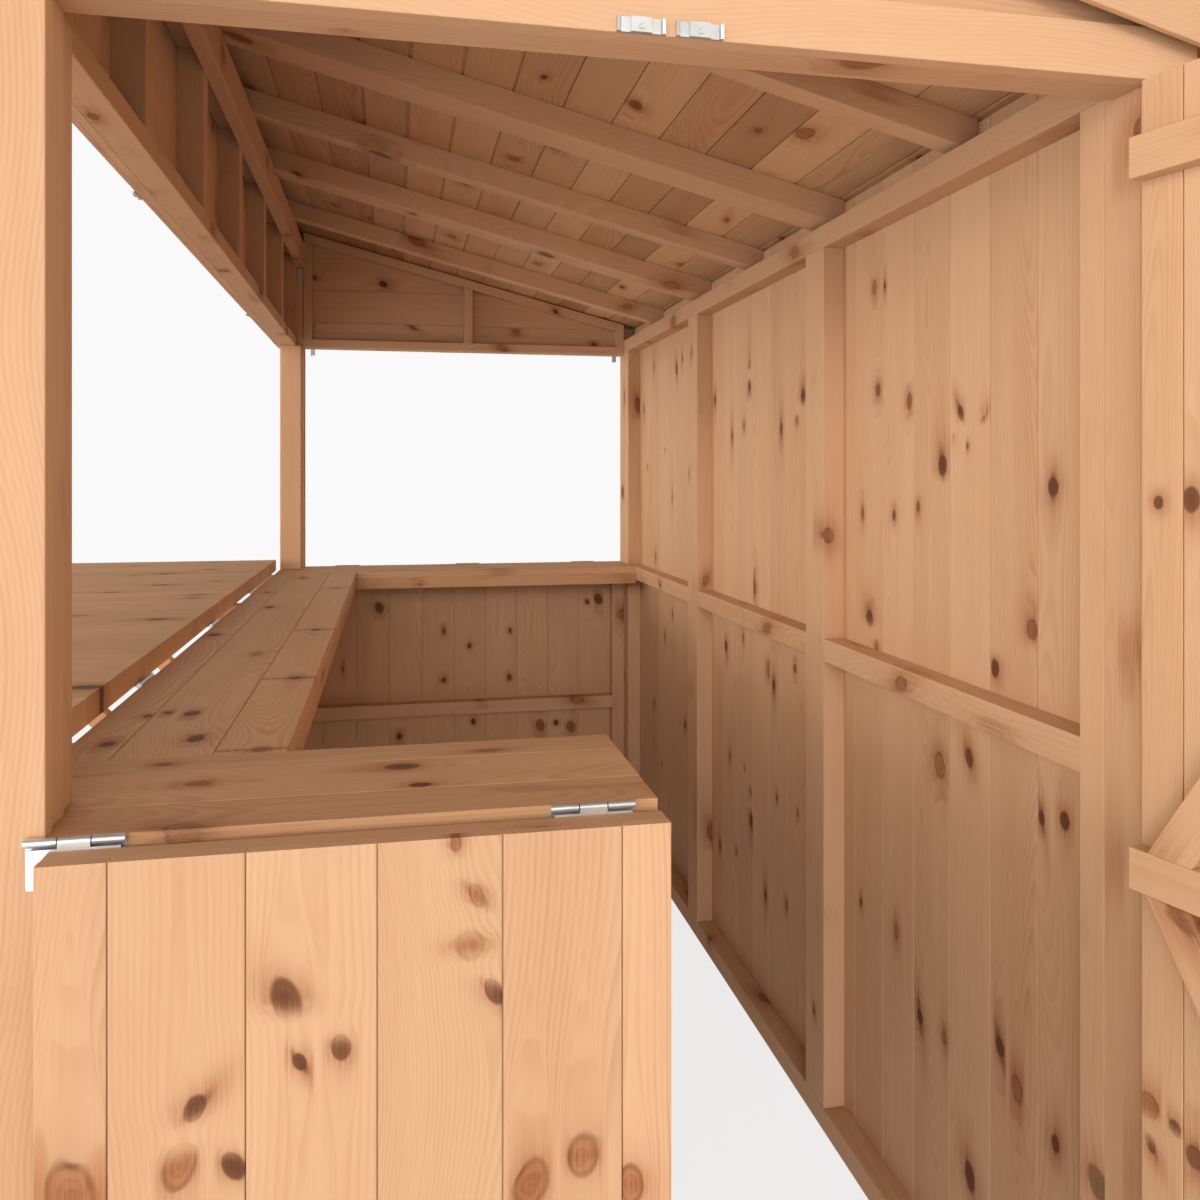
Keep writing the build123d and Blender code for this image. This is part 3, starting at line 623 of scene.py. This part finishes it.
def rows_at(lo, hi, phase, pitch, v0, v1, **opt):
    """Boards between lo and hi with joints at phase + k * pitch."""
    k = math.ceil((lo - phase) / pitch + 1e-6)
    seams = []
    while phase + k * pitch < hi - 4:
        if phase + k * pitch > lo + 4:
            seams.append(phase + k * pitch)
        k += 1
    edges = [lo] + seams + [hi]
    out = []
    for i in range(len(edges) - 1):
        d = dict(opt)
        d["first"], d["last"] = i == 0, i == len(edges) - 2
        out.append((edges[i], edges[i + 1], v0, v1, d))
    return out


X, Y, Z = (1, 0, 0), (0, 1, 0), (0, 0, 1)
PITCH = 112.0

# Knots: (across, along, radius, tail, lean, dead), in mm in the board's own plane. A lean of 5 lies across the board.
BACK_KNOTS = [
(592, 1620, 8, 8, 0, 0.1), (632, 1616, 4, 14, 0, 0.8), (606, 1431, 10, 12, 0, 0.6), (720, 1403, 9, 12, 0, 0.5), (880, 1352, 8, 26, 0.55, 0.9),
    (941, 1354, 7, 24, -0.6, 0.8), (861, 1342, 5, 6, 0, 0.3), (899, 1322, 4, 6, 0, 0.5), (827, 1292, 13, 34, 0.1, 0.95), (1105, 1261, 11, 22, 0, 0.95),
    (544, 1205, 6, 16, 0, 0.5), (666, 1206, 7, 9, 0, 0.6), (750, 1224, 6, 14, 0, 0.6), (573, 996, 14, 24, 0.1, 0.8), (1060, 1064, 12, 22, 0, 0.5),
    (-348, 1482, 8, 20, 0, 0.8), (-74, 1547, 5, 28, 0, 0.4), (-74, 1499, 9, 24, 0, 0.8), (-204, 1380, 7, 32, 0, 0.7), (-113, 1400, 6, 12, 0, 0.5),
    (137, 1382, 8, 32, 0, 0.8), (262, 1443, 12, 24, 0, 0.95), (228, 1398, 6, 10, 0, 0.3), (-38, 1003, 13, 34, 0, 0.45), (-1011, 1644, 6, 26, 0, 0.4),
    (-730, 1606, 11, 28, 0.2, 0.9), (-670, 1631, 6, 18, 0, 0.7), (-555, 1559, 8, 16, 0, 0.6), (-1151, 1504, 7, 20, 0, 0.6), (-870, 1357, 3, 4, 0, 0.6),
    (-1102, 1303, 6, 4, 0, 0.2), (-784, 1205, 5, 26, 0, 0.7), (-549, 1219, 6, 28, 0, 0.7), (-990, 1000, 7, 18, 0, 0.4), (-253, 823, 12, 20, 0.1, 0.7),
    (-118, 865, 6, 12, 0, 0.5), (60, 821, 13, 12, 0, 0.25), (91, 790, 9, 26, 0, 0.95), (217, 852, 8, 12, 0, 0.6), (-222, 538, 5, 16, 0, 0.6),
    (-110, 538, 4, 6, 0, 0.6), (-68, 498, 6, 16, 0, 0.4), (-62, 426, 11, 34, 0.15, 0.95), (110, 534, 5, 10, 0, 0.6), (232, 537, 4, 8, 0, 0.6),
    (-305, 277, 7, 18, 0, 0.8), (-171, 309, 7, 6, 0, 0.3), (37, 282, 8, 30, 0, 0.8), (171, 311, 9, 9, 0, 0.4), (819, 809, 16, 20, 0.1, 0.25),
    (904, 844, 11, 20, 0.3, 0.7), (1081, 811, 7, 26, 0.2, 0.95), (1129, 823, 10, 16, 0, 0.9), (537, 472, 5, 10, 0, 0.8), (675, 476, 8, 18, 0, 0.3),
    (756, 370, 10, 36, 0.2, 0.95), (832, 378, 7, 20, 0, 0.3), (984, 447, 11, 38, 0.3, 0.85), (1025, 409, 13, 24, 0.1, 0.35), (1110, 387, 9, 18, 0, 0.8),
    (906, 205, 14, 26, 0.3, 0.8), (972, 994, 10, 12, 0, 0.9), (600, 966, 8, 8, 0, 0.4), (-780, 835, 6, 10, 0, 0.6), (-872, 752, 6, 14, 0, 0.6),
    (-1010, 503, 6, 14, 0, 0.6), (-638, 519, 8, 14, 0, 0.9), (-910, 324, 5, 10, 0, 0.7)
]

FLAP_KNOTS = [(-773, 840, 13, 5, 0, 0.0), (-933, 775, 13, 12, 0.7, 0.75), (-887, 771, 9, 8, 0.2, 0.7), (-922, 762, 6, 12, 0.6, 0.9), (-1021, 685, 14, 12, -0.6, 0.2), (-1009, 699, 9, 16, -0.9, 0.85), (-977, 678, 10, 8, 0.9, 0.9), (-1108, 672, 20, 8, 0.4, 0.15), (-669, 646, 15, 6, 0, 0.1), (-718, 626, 16, 12, -0.5, 0.35), (-623, 613, 12, 8, 0.3, 0.3), (-752, 807, 8, 22, 0.9, 0.7), (-767, 895, 7, 26, 0.9, 0.3), (-786, 944, 5, 10, 0, 0.1)]

FAR_KNOTS = [(-891, 811, 15, 8, 0.5, 0.7), (-668, 722, 7, 6, 0, 0.6), (-577, 667, 7, 5, 0, 0.8), (-432, 717, 6, 5, 0, 0.8), (-668, 549, 8, 6, 0, 0.7), (-434, 548, 8, 6, 0, 0.7), (-108, 822, 16, 10, 0.6, 0.8), (-150, 813, 8, 6, 0.4, 0.8), (-822, 357, 10, 12, 0, 0.9), (-563, 396, 8, 6, 0, 0.9), (-323, 372, 15, 6, 0.3, 0.5), (-265, 378, 9, 5, 0, 0.8), (-210, 361, 16, 6, 0.3, 0.5)]

DOOR_KNOTS = [(21, 1248, 6, 6, 0, 0.7), (58, 1252, 10, 10, 0, 0.7), (10, 585, 12, 10, 0, 0.2), (40, 591, 7, 8, 0.3, 0.9), (62, 574, 10, 20, 0, 0.6), (12, 559, 6, 14, 0.5, 0.9)]

TOP_KNOTS = [(-1106, 873, 11, 14, 0, 0.7), (-1076, 1011, 10, 12, 0, 0.8), (-1174, 1017, 9, 12, 0.1, 0.7), (-1138, 862, 6, 8, 0, 0.8), (-1161, 876, 6, 10, 0, 0.8),
             (-1191, 177, 12, 16, 0, 0.9), (-1134, -236, 11, 18, 0, 0.9), (-1116, -939, 12, 20, 0, 0.9), (-1176, -560, 8, 10, 0, 0.5), (-1080, 420, 7, 12, 0, 0.3),
             (-999, 149, 10, 62, 5, 0.8), (-992, 655, 10, 66, 5, 0.7), (-994, 1076, 8, 50, 5, 0.5), (-1000, -635, 10, 60, 5, 0.8)]
NEAR_TOP_KNOTS = [(1180, -832, 11, 14, 0, 0.7), (1250, -814, 7, 12, 0, 0.9), (1134, -734, 6, 22, 0, 0.3), (1200, -1040, 9, 14, 0, 0.3), (1120, -1090, 7, 10, 0, 0.5)]
FRONT_KNOTS = [(-488, -1430, 11, 20, 0, 0.7), (-246, -1299, 9, 22, 0.1, 0.8), (-179, -1296, 8, 16, 0, 0.7), (169, -1299, 12, 34, 0, 0.9), (834, -1246, 14, 26, 0, 0.9),
               (-917, -1383, 9, 16, 0, 0.7), (-1083, -1635, 8, 18, 0, 0.7), (-558, -1306, 7, 20, 0, 0.8), (84, -1473, 6, 12, 0, 0.5), (-334, -1512, 10, 22, 0.1, 0.8),
               (-760, -1560, 8, 16, 0, 0.5), (300, -1700, 9, 14, 0, 0.5), (560, -1420, 7, 16, 0, 0.3), (1000, -1640, 9, 14, 0, 0.6), (-1180, -1420, 7, 16, 0, 0.8)]

o = board_mesh("back_boards", rows_at(-1320, 1320, 623.4, PITCH, 0, 1808), (0, 22, 0), X, Z, Y, 12, M_BOARD, "root", knots=BACK_KNOTS)
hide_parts("back_wall_boards")
o = board_mesh("front_lower_boards", rows_at(-1320, 1320, 623.4, PITCH, 0, 938), (0, -1203, 0), X, Z, (0, -1, 0), 12, M_BOARD, "root")
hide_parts("lower_front_boards")
o = board_mesh("near_lower_boards", rows_at(-1141.5, -584, -967.4, PITCH, 0, 938), (1320, 0, 0), Y, Z, X, 12, M_BOARD, "root")
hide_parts("lower_near_boards")
o = board_mesh("far_lower_boards", rows_at(-1141.5, -22, -967.4, PITCH, 0, 938), (-1320, 0, 0), Y, Z, (-1, 0, 0), 12, M_BOARD, "root", knots=FAR_KNOTS)
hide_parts("lower_far_boards")
o = board_mesh("fascia_front_boards", rows_at(-1320, 1320, 623.4, PITCH, 1712, 2122), (0, -1210, 0), X, Z, (0, -1, 0), 12, M_BOARD, "root")
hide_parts("fascia_boards")


def gable_end(u):
    return min(34.0, (1817.0 - u) / 0.2527)


rows = [(a_, b_, -1222, gable_end, {"first": i == 0, "last": i == 3})
        for i, (a_, b_) in enumerate(((1770, 1805), (1805, 1917), (1917, 2029), (2029, 2124)))]
o1 = board_mesh("gable_near_boards", rows, (1320, 0, 0), Z, Y, X, 12, M_BOARD, "root")
o2 = board_mesh("gable_far_boards", rows, (-1332, 0, 0), Z, Y, X, 12, M_BOARD, "root")
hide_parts("gable_boards")
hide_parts("gable_boards")

ry = rows_at(-1291, 84, -809.2, 91.5, -1357, 1357)
rr_ = rnd("roof")
for i, row in enumerate(ry):
    row[4]["g1"] = rr_.choice((1.5, 2.0, 3.0, 4.5, 6.5))
o = board_mesh("roof_deck", ry, (0, 0, 1819.1), (0, 1, -0.2527), X, Z, 12.4, M_BOARD_ROOF, "root", knot_gap=(260, 620))
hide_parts("roof_boards")

o = board_mesh("near_flap_face", rows_at(-1136.5, -584, -967.4, PITCH, 207, 949), (1374, 0, 0), Y, Z, X, 12, M_BOARD, "near_flap", knots=FLAP_KNOTS)
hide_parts("near_flap_boards")
o = board_mesh("far_flap_face", rows_at(-1136.5, -27, -967.4, PITCH, 207, 949), (-1374, 0, 0), Y, Z, (-1, 0, 0), 12, M_BOARD, "root")
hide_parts("far_flap_boards")

DA = math.radians(13.0)
DT, DN = (math.cos(DA), math.sin(DA), 0.0), (-math.sin(DA), math.cos(DA), 0.0)
DO = Vector((1345.5, -29.0, 0.0))
o = board_mesh("door_face", rows_at(1.0, 548, 49, PITCH, 12, 1705), DO + Vector(DN) * -17.5, DT, Z, DN, 12, M_BOARD, "door", knots=DOOR_KNOTS)
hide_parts("door_boards")


# ======================================================== shaped flat timbers
def slab(bm, pts, w0, w1, frame_, store, along, seed):
    """A flat piece with outline pts in a plane, from w0 to w1 through it."""
    O_, U_, V_, W_ = (Vector(v) for v in frame_)
    lo_, hi_ = [], []
    us = [p[0] for p in pts]
    vs = [p[1] for p in pts]
    uc, vc = (min(us) + max(us)) / 2, (min(vs) + max(vs)) / 2
    new = []
    for (u, v) in pts:
        for w, lst in ((w0, lo_), (w1, hi_)):
            vert = bm.verts.new((O_ + U_ * u + V_ * v + W_ * w) * MM)
            lst.append(vert)
            new.append(vert)
    n = len(pts)
    fs = [bm.faces.new(lo_[::-1]), bm.faces.new(hi_)]
    for i in range(n):
        j = (i + 1) % n
        fs.append(bm.faces.new((lo_[i], lo_[j], hi_[j], hi_[i])))
    return fs, (O_, U_, V_, W_, uc, vc, (w0 + w1) / 2, along, seed)


def flat_piece(name, shapes, mat, body, ease=1.2):
    """shapes: (pts, w0, w1, (O, U, V, W), along) with along 'u' or 'v'; one solid each, edges eased."""
    whole = bmesh.new()
    gp = whole.verts.layers.float_vector.new("gpos")
    gs = whole.verts.layers.float.new("gseed")
    for i, (pts, w0, w1, fr, along) in enumerate(shapes):
        bm = bmesh.new()
        fs, info = slab(bm, pts, w0, w1, fr, None, along, 0)
        bmesh.ops.recalc_face_normals(bm, faces=bm.faces)
        bmesh.ops.bevel(bm, geom=list(bm.edges), offset=ease * MM, segments=2, profile=0.6, affect="EDGES", clamp_overlap=True)
        O_, U_, V_, W_, uc, vc, wc, al, _ = info
        seed = rnd(name, i).uniform(0, 900)
        m_ = {}
        un, vn, wn = U_.normalized(), V_.normalized(), W_.normalized()
        for v in bm.verts:
            nv = whole.verts.new(v.co)
            rel = v.co / MM - O_
            u, vv, w = rel.dot(un) - uc, rel.dot(vn) - vc, rel.dot(wn) - wc
            nv[gp] = Vector((u, vv, w) if al == "u" else (vv, u, w)) * MM
            nv[gs] = seed
            m_[v] = nv
        for f in bm.faces:
            whole.faces.new([m_[v] for v in f.verts])
        bm.free()
    me = bpy.data.meshes.new(name)
    whole.to_mesh(me)
    whole.free()
    me.materials.append(mat)
    o = bpy.data.objects.new(name, me)
    bpy.context.scene.collection.objects.link(o)
    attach(o, body)
    return o


XY = ((0, 0, 0), X, Y, Z)


def rect(a, b, c, d):
    return [(a, c), (b, c), (b, d), (a, d)]


def top_rows(edges, v0, v1):
    return [(a_, b_, v0, v1, {"first": i == 0, "last": i == len(edges) - 2}) for i, (a_, b_) in enumerate(zip(edges, edges[1:]))]


o = board_mesh("front_worktop", top_rows((-1215, -1154, -1044, -962), -1090, 1090), (0, 0, 938), Y, X, Z, 20, M_TOPB, "root",
               knots=TOP_KNOTS, gap_mm=0.4, cham=0.9, deep=4)
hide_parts("front_counter")
o = board_mesh("near_worktop_inner", top_rows((1090, 1152, 1262), -1215, -585), (0, 0, 938), X, Y, Z, 20, M_TOPB, "root",
               knots=NEAR_TOP_KNOTS, gap_mm=0.4, cham=0.9, deep=4)
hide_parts("near_counter")
o = flat_piece("near_worktop_outer", [
    ([(1262, -1215), (1320, -1215), (1320, -1203), (1276, -1203), (1276, -1145), (1320, -1145), (1320, -1141.5),
      (1340, -1141.5), (1340, -585), (1262, -585)], 938, 958, XY, "v")], M_TOP, "root")
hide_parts("near_counter")
o = board_mesh("far_worktop_inner", top_rows((-1262, -1152, -1090), -1215, -22), (0, 0, 938), X, Y, Z, 20, M_TOPB, "root",
               gap_mm=0.4, cham=0.9, deep=4)
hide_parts("far_counter")
o = flat_piece("far_worktop_outer", [
    ([(-1262, -1215), (-1320, -1215), (-1320, -1203), (-1276, -1203), (-1276, -1145), (-1320, -1145), (-1320, -1141.5),
      (-1340, -1141.5), (-1340, -22), (-1262, -22)], 938, 958, XY, "v")], M_TOP, "root")
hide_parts("far_counter")

# Brace frames: u along the brace, v across it.
BO = DO + Vector(DN) * -17.5
BR = []
for pts in (((23.7, 878), (73.1, 878), (508, 1595), (458.6, 1595)), ((22, 833), (73, 833), (471, 165), (420, 165))):
    (x0, z0), (x1, z1) = pts[1], pts[2]
    L_ = math.hypot(x1 - x0, z1 - z0)
    du, dv = ((x1 - x0) / L_, (z1 - z0) / L_), (-(z1 - z0) / L_, (x1 - x0) / L_)
    U_ = Vector(DT) * du[0] + Vector(Z) * du[1]
    V_ = Vector(DT) * dv[0] + Vector(Z) * dv[1]
    loc = [(p[0] * du[0] + p[1] * du[1], p[0] * dv[0] + p[1] * dv[1]) for p in pts]
    BR.append((loc, 0, 22, (BO, U_, V_, -Vector(DN)), "u"))
o = flat_piece("door_brace_pair", BR, M_TIMBER, "door")
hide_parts("door_braces")

# Front flap: two panels, boards across them from the hinge side to the free edge.
rows = []
for a_, b_ in ((-1233.0, 239.5), (240.5, 1233.0)):
    k = round((b_ - a_) / 112)
    rows += top_rows([a_ + (b_ - a_) * i / k for i in range(k + 1)], -1970, -1228)
o = board_mesh("front_flap_deck", rows, (0, 0, 955), X, Y, Z, 36, M_TOPB, "front_flap", knots=FRONT_KNOTS,
               gap_mm=0.1, cham=0.3, deep=1.5)
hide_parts("front_flap_panels")

# ================================================================ CAD nodes
SL = math.atan(0.2527)
for i, n in enumerate(("back_bottom_plate", "back_top_plate", "back_studs", "back_corner_posts", "back_mid_rails", "lower_rails",
                       "lower_studs", "front_corner_posts", "front_opening_posts", "fascia_rails", "fascia_studs", "front_beam",
                       "gable_rails", "gable_studs", "near_flap_ledges", "far_flap_ledges", "front_flap_battens",
                       "bracket_arms", "bracket_uprights")):
    dress(n, M_TIMBER, seed=i + 1)
for i, n in enumerate(("gable_chords", "rafters")):
    dress(n, M_TIMBER, turn=(-SL, 0, 0), seed=30 + i)
dress("bracket_struts", M_TIMBER, turn=(-math.atan2(476, 491), 0, 0), seed=34)
dress("door_ledges", M_TIMBER, turn=(0, 0, DA), seed=35)
dress("counter_battens", M_TOP, seed=36)
dress("corner_trims", M_TRIM, seed=37)
dress("front_header_trim", M_TRIM, seed=38)
dress("end_header_trims", M_TRIM, seed=39)
dress("barge_boards", M_TRIM, turn=(-SL, 0, 0), seed=40)
dress("eaves_strips", M_TRIM, seed=41)
dress("roof_felt", M_FELT, seed=42, edge=0.0004)


# ============================================================ turn buttons
def button(bm, place, U_, V_, W_):
    """A pressed steel turn button, 49 by 15: a raised middle, thinner wings with lifted tips and a slotted screw."""
    O_, U_, V_, W_ = Vector(place), Vector(U_), Vector(V_), Vector(W_)

    def prism(outline, a, b, axes):
        A_, B_, C_ = axes
        ends = [[bm.verts.new((O_ + A_ * p + B_ * q + C_ * c) * MM) for (p, q) in outline] for c in (a, b)]
        n_ = len(outline)
        bm.faces.new(ends[0][::-1])
        bm.faces.new(ends[1])
        for i_ in range(n_):
            j_ = (i_ + 1) % n_
            bm.faces.new((ends[0][i_], ends[0][j_], ends[1][j_], ends[1][i_]))

    prism([(-24.5, 0), (24.5, 0), (24.5, 6.6), (21.5, 6.0), (20.0, 3.6), (11.5, 3.6), (10.5, 6.6), (-10.5, 6.6),
           (-11.5, 3.6), (-20.0, 3.6), (-21.5, 6.0), (-24.5, 6.6)], -7.5, 7.5, (U_, W_, V_))
    for turn in (0.75, 0.75 + math.pi):
        half_disc = []
        for k_ in range(13):
            an = math.asin(0.14) + (math.pi - 2 * math.asin(0.14)) * k_ / 12
            x_, y_ = 4.6 * math.cos(an), 4.6 * math.sin(an)
            half_disc.append((x_ * math.cos(turn) - y_ * math.sin(turn), x_ * math.sin(turn) + y_ * math.cos(turn)))
        prism(half_disc, 6.6, 7.8, (U_, V_, W_))


bm = bmesh.new()
for y_ in (-603, -543, -1099):
    button(bm, (1340, y_, 1719), Y, Z, X)
for x_ in (622, -590):
    button(bm, (x_, -1231, 1719), X, Z, (0, -1, 0))
for y_ in (-1117, -45):
    button(bm, (-1340, y_, 1716), Z, Y, (-1, 0, 0))
bmesh.ops.recalc_face_normals(bm, faces=bm.faces)
me = bpy.data.meshes.new("turn_button_plates")
bm.to_mesh(me)
bm.free()
me.materials.append(M_STEEL)
o = bpy.data.objects.new("turn_button_plates", me)
bpy.context.scene.collection.objects.link(o)
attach(o, "root")
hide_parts("turn_buttons")

for n in ("beam_plates", "near_flap_hinge_leaves", "far_flap_hinges", "front_flap_hinge_leaves", "door_hinge_leaves",
          "fixed_hinge_leaves"):
    dress(n, M_STEEL, seed=50, edge=0.0003)

# ============================================================ floor, light
me = bpy.data.meshes.new("floor")
s = 30.0
me.from_pydata([(-s, -s, 0), (s, -s, 0), (s, s, 0), (-s, s, 0)], [], [(0, 1, 2, 3)])
floor = bpy.data.objects.new("floor", me)
bpy.context.scene.collection.objects.link(floor)
# The floor shows almost as white as the room and throws back plain diffuse light.
fm, ft, fb = material("floor_white")
glow = ft.new("ShaderNodeEmission")
glow.inputs[0].default_value = (1, 1, 1, 1)
glow.inputs[1].default_value = 0.965
fmix = ft.new("ShaderNodeMixShader")
far_out = ft.vmath("LENGTH", ft.new("ShaderNodeTexCoord").outputs["Object"], (0.0, 0.0, 0.0))
ft.put(fmix.inputs[0], ft.mul(ft.new("ShaderNodeLightPath").outputs["Is Camera Ray"], ft.span(far_out, 2.2, 7.0, 0.80, 0.975)))
ft.t.links.new(fb.outputs[0], fmix.inputs[1])
ft.t.links.new(glow.outputs[0], fmix.inputs[2])
ft.t.links.new(fmix.outputs[0], [n for n in ft.t.nodes if n.type == "OUTPUT_MATERIAL"][0].inputs[0])
fb.inputs["Emission Color"].default_value = (1, 1, 1, 1)
fb.inputs["Emission Strength"].default_value = 0.14
co = ft.new("ShaderNodeTexCoord").outputs["Object"]
fn = ft.noise(co, 1.4, 3.0, 0.5)
ft.put(fb.inputs["Base Color"], ft.mix(fn, (0.86, 0.86, 0.865, 1), (0.89, 0.89, 0.89, 1)))
ft.put(fb.inputs["Roughness"], ft.span(fn, 0.2, 0.8, 0.82, 0.9, False))
fb.inputs["Specular IOR Level"].default_value = 0.1
me.materials.append(fm)

world = bpy.data.worlds.new("studio")
bpy.context.scene.world = world
world.use_nodes = True
# A soft dome: bright round the sides, dimmer overhead. The room behind the object is plain white.
wt = Tree(world.node_tree)
bg = world.node_tree.nodes["Background"]
wx, wy, wz = wt.xyz(wt.new("ShaderNodeTexCoord").outputs["Generated"])
DOME_SIDE, DOME_TOP, DOME_FRONT, DOME_NEAR = 0.82, 0.26, 0.88, 0.62
dome = wt.span(wz, 0.10, 0.75, DOME_SIDE, DOME_TOP)
dome = wt.add(dome, wt.mul(wt.span(wt.mul(wy, -1.0), 0.1, 0.9), wt.mul(wt.span(wz, 0.15, 0.6, 1.0, 0.0), DOME_FRONT)))
dome = wt.add(dome, wt.mul(wt.span(wx, 0.1, 0.9), wt.mul(wt.span(wz, 0.15, 0.6, 1.0, 0.0), DOME_NEAR)))
seen = wt.new("ShaderNodeLightPath").outputs["Is Camera Ray"]
wt.put(bg.inputs[0], wt.mix(seen, wt.vec(wt.mul(dome, 1.07), wt.mul(dome, 0.97), wt.mul(dome, 0.82)), (0.95, 0.95, 0.95, 1.0)))
bg.inputs[1].default_value = 1.0


def area(name, place, aim, size, power, colour=(1, 1, 1)):
    d = bpy.data.lights.new(name, "AREA")
    d.shape = "SQUARE"
    d.size = size
    d.energy = power
    d.color = colour
    ob = bpy.data.objects.new(name, d)
    ob.location = place
    ob.rotation_euler = (Vector(aim) - Vector(place)).to_track_quat("-Z", "Y").to_euler()
    bpy.context.scene.collection.objects.link(ob)
    return ob


area("key", (6.5, -2.6, 2.7), (-0.9, -0.5, 0.9), 1.8, 36, (0.90, 1.0, 1.28))
area("key_far", (7.0, -1.15, 2.7), (-1.3, -0.5, 0.7), 1.0, 44, (1.06, 1.0, 0.92))
area("front_low", (0.0, -5.5, 0.75), (0.0, 0.0, 1.6), 2.5, 110)
area("near_low", (4.8, -1.9, 0.7), (0.0, -0.2, 1.6), 1.2, 20, (1.0, 1.0, 1.0))

# ================================================================== camera
cam_data = bpy.data.cameras.new("camera")
cam_data.sensor_width = 36.0
cam_data.lens = 1012.66 / 1200.0 * 36.0
cam_data.shift_y = -(600.0 - 474.308) / 1200.0
cam_data.clip_start = 0.05
cam_data.clip_end = 200.0
cam = bpy.data.objects.new("camera", cam_data)
cam.location = (2.310, -0.841, 1.278)
look = Vector((-math.cos(math.radians(11.5095)), math.sin(math.radians(11.5095)), 0.0))
cam.rotation_euler = look.to_track_quat("-Z", "Y").to_euler()
bpy.context.scene.collection.objects.link(cam)
bpy.context.scene.camera = cam
bpy.context.scene.view_settings.view_transform = "Standard"

bpy.context.scene.cycles.max_bounces = 3
bpy.context.scene.cycles.adaptive_threshold = 0.04
bpy.context.scene.cycles.diffuse_bounces = 2
bpy.context.scene.cycles.glossy_bounces = 1
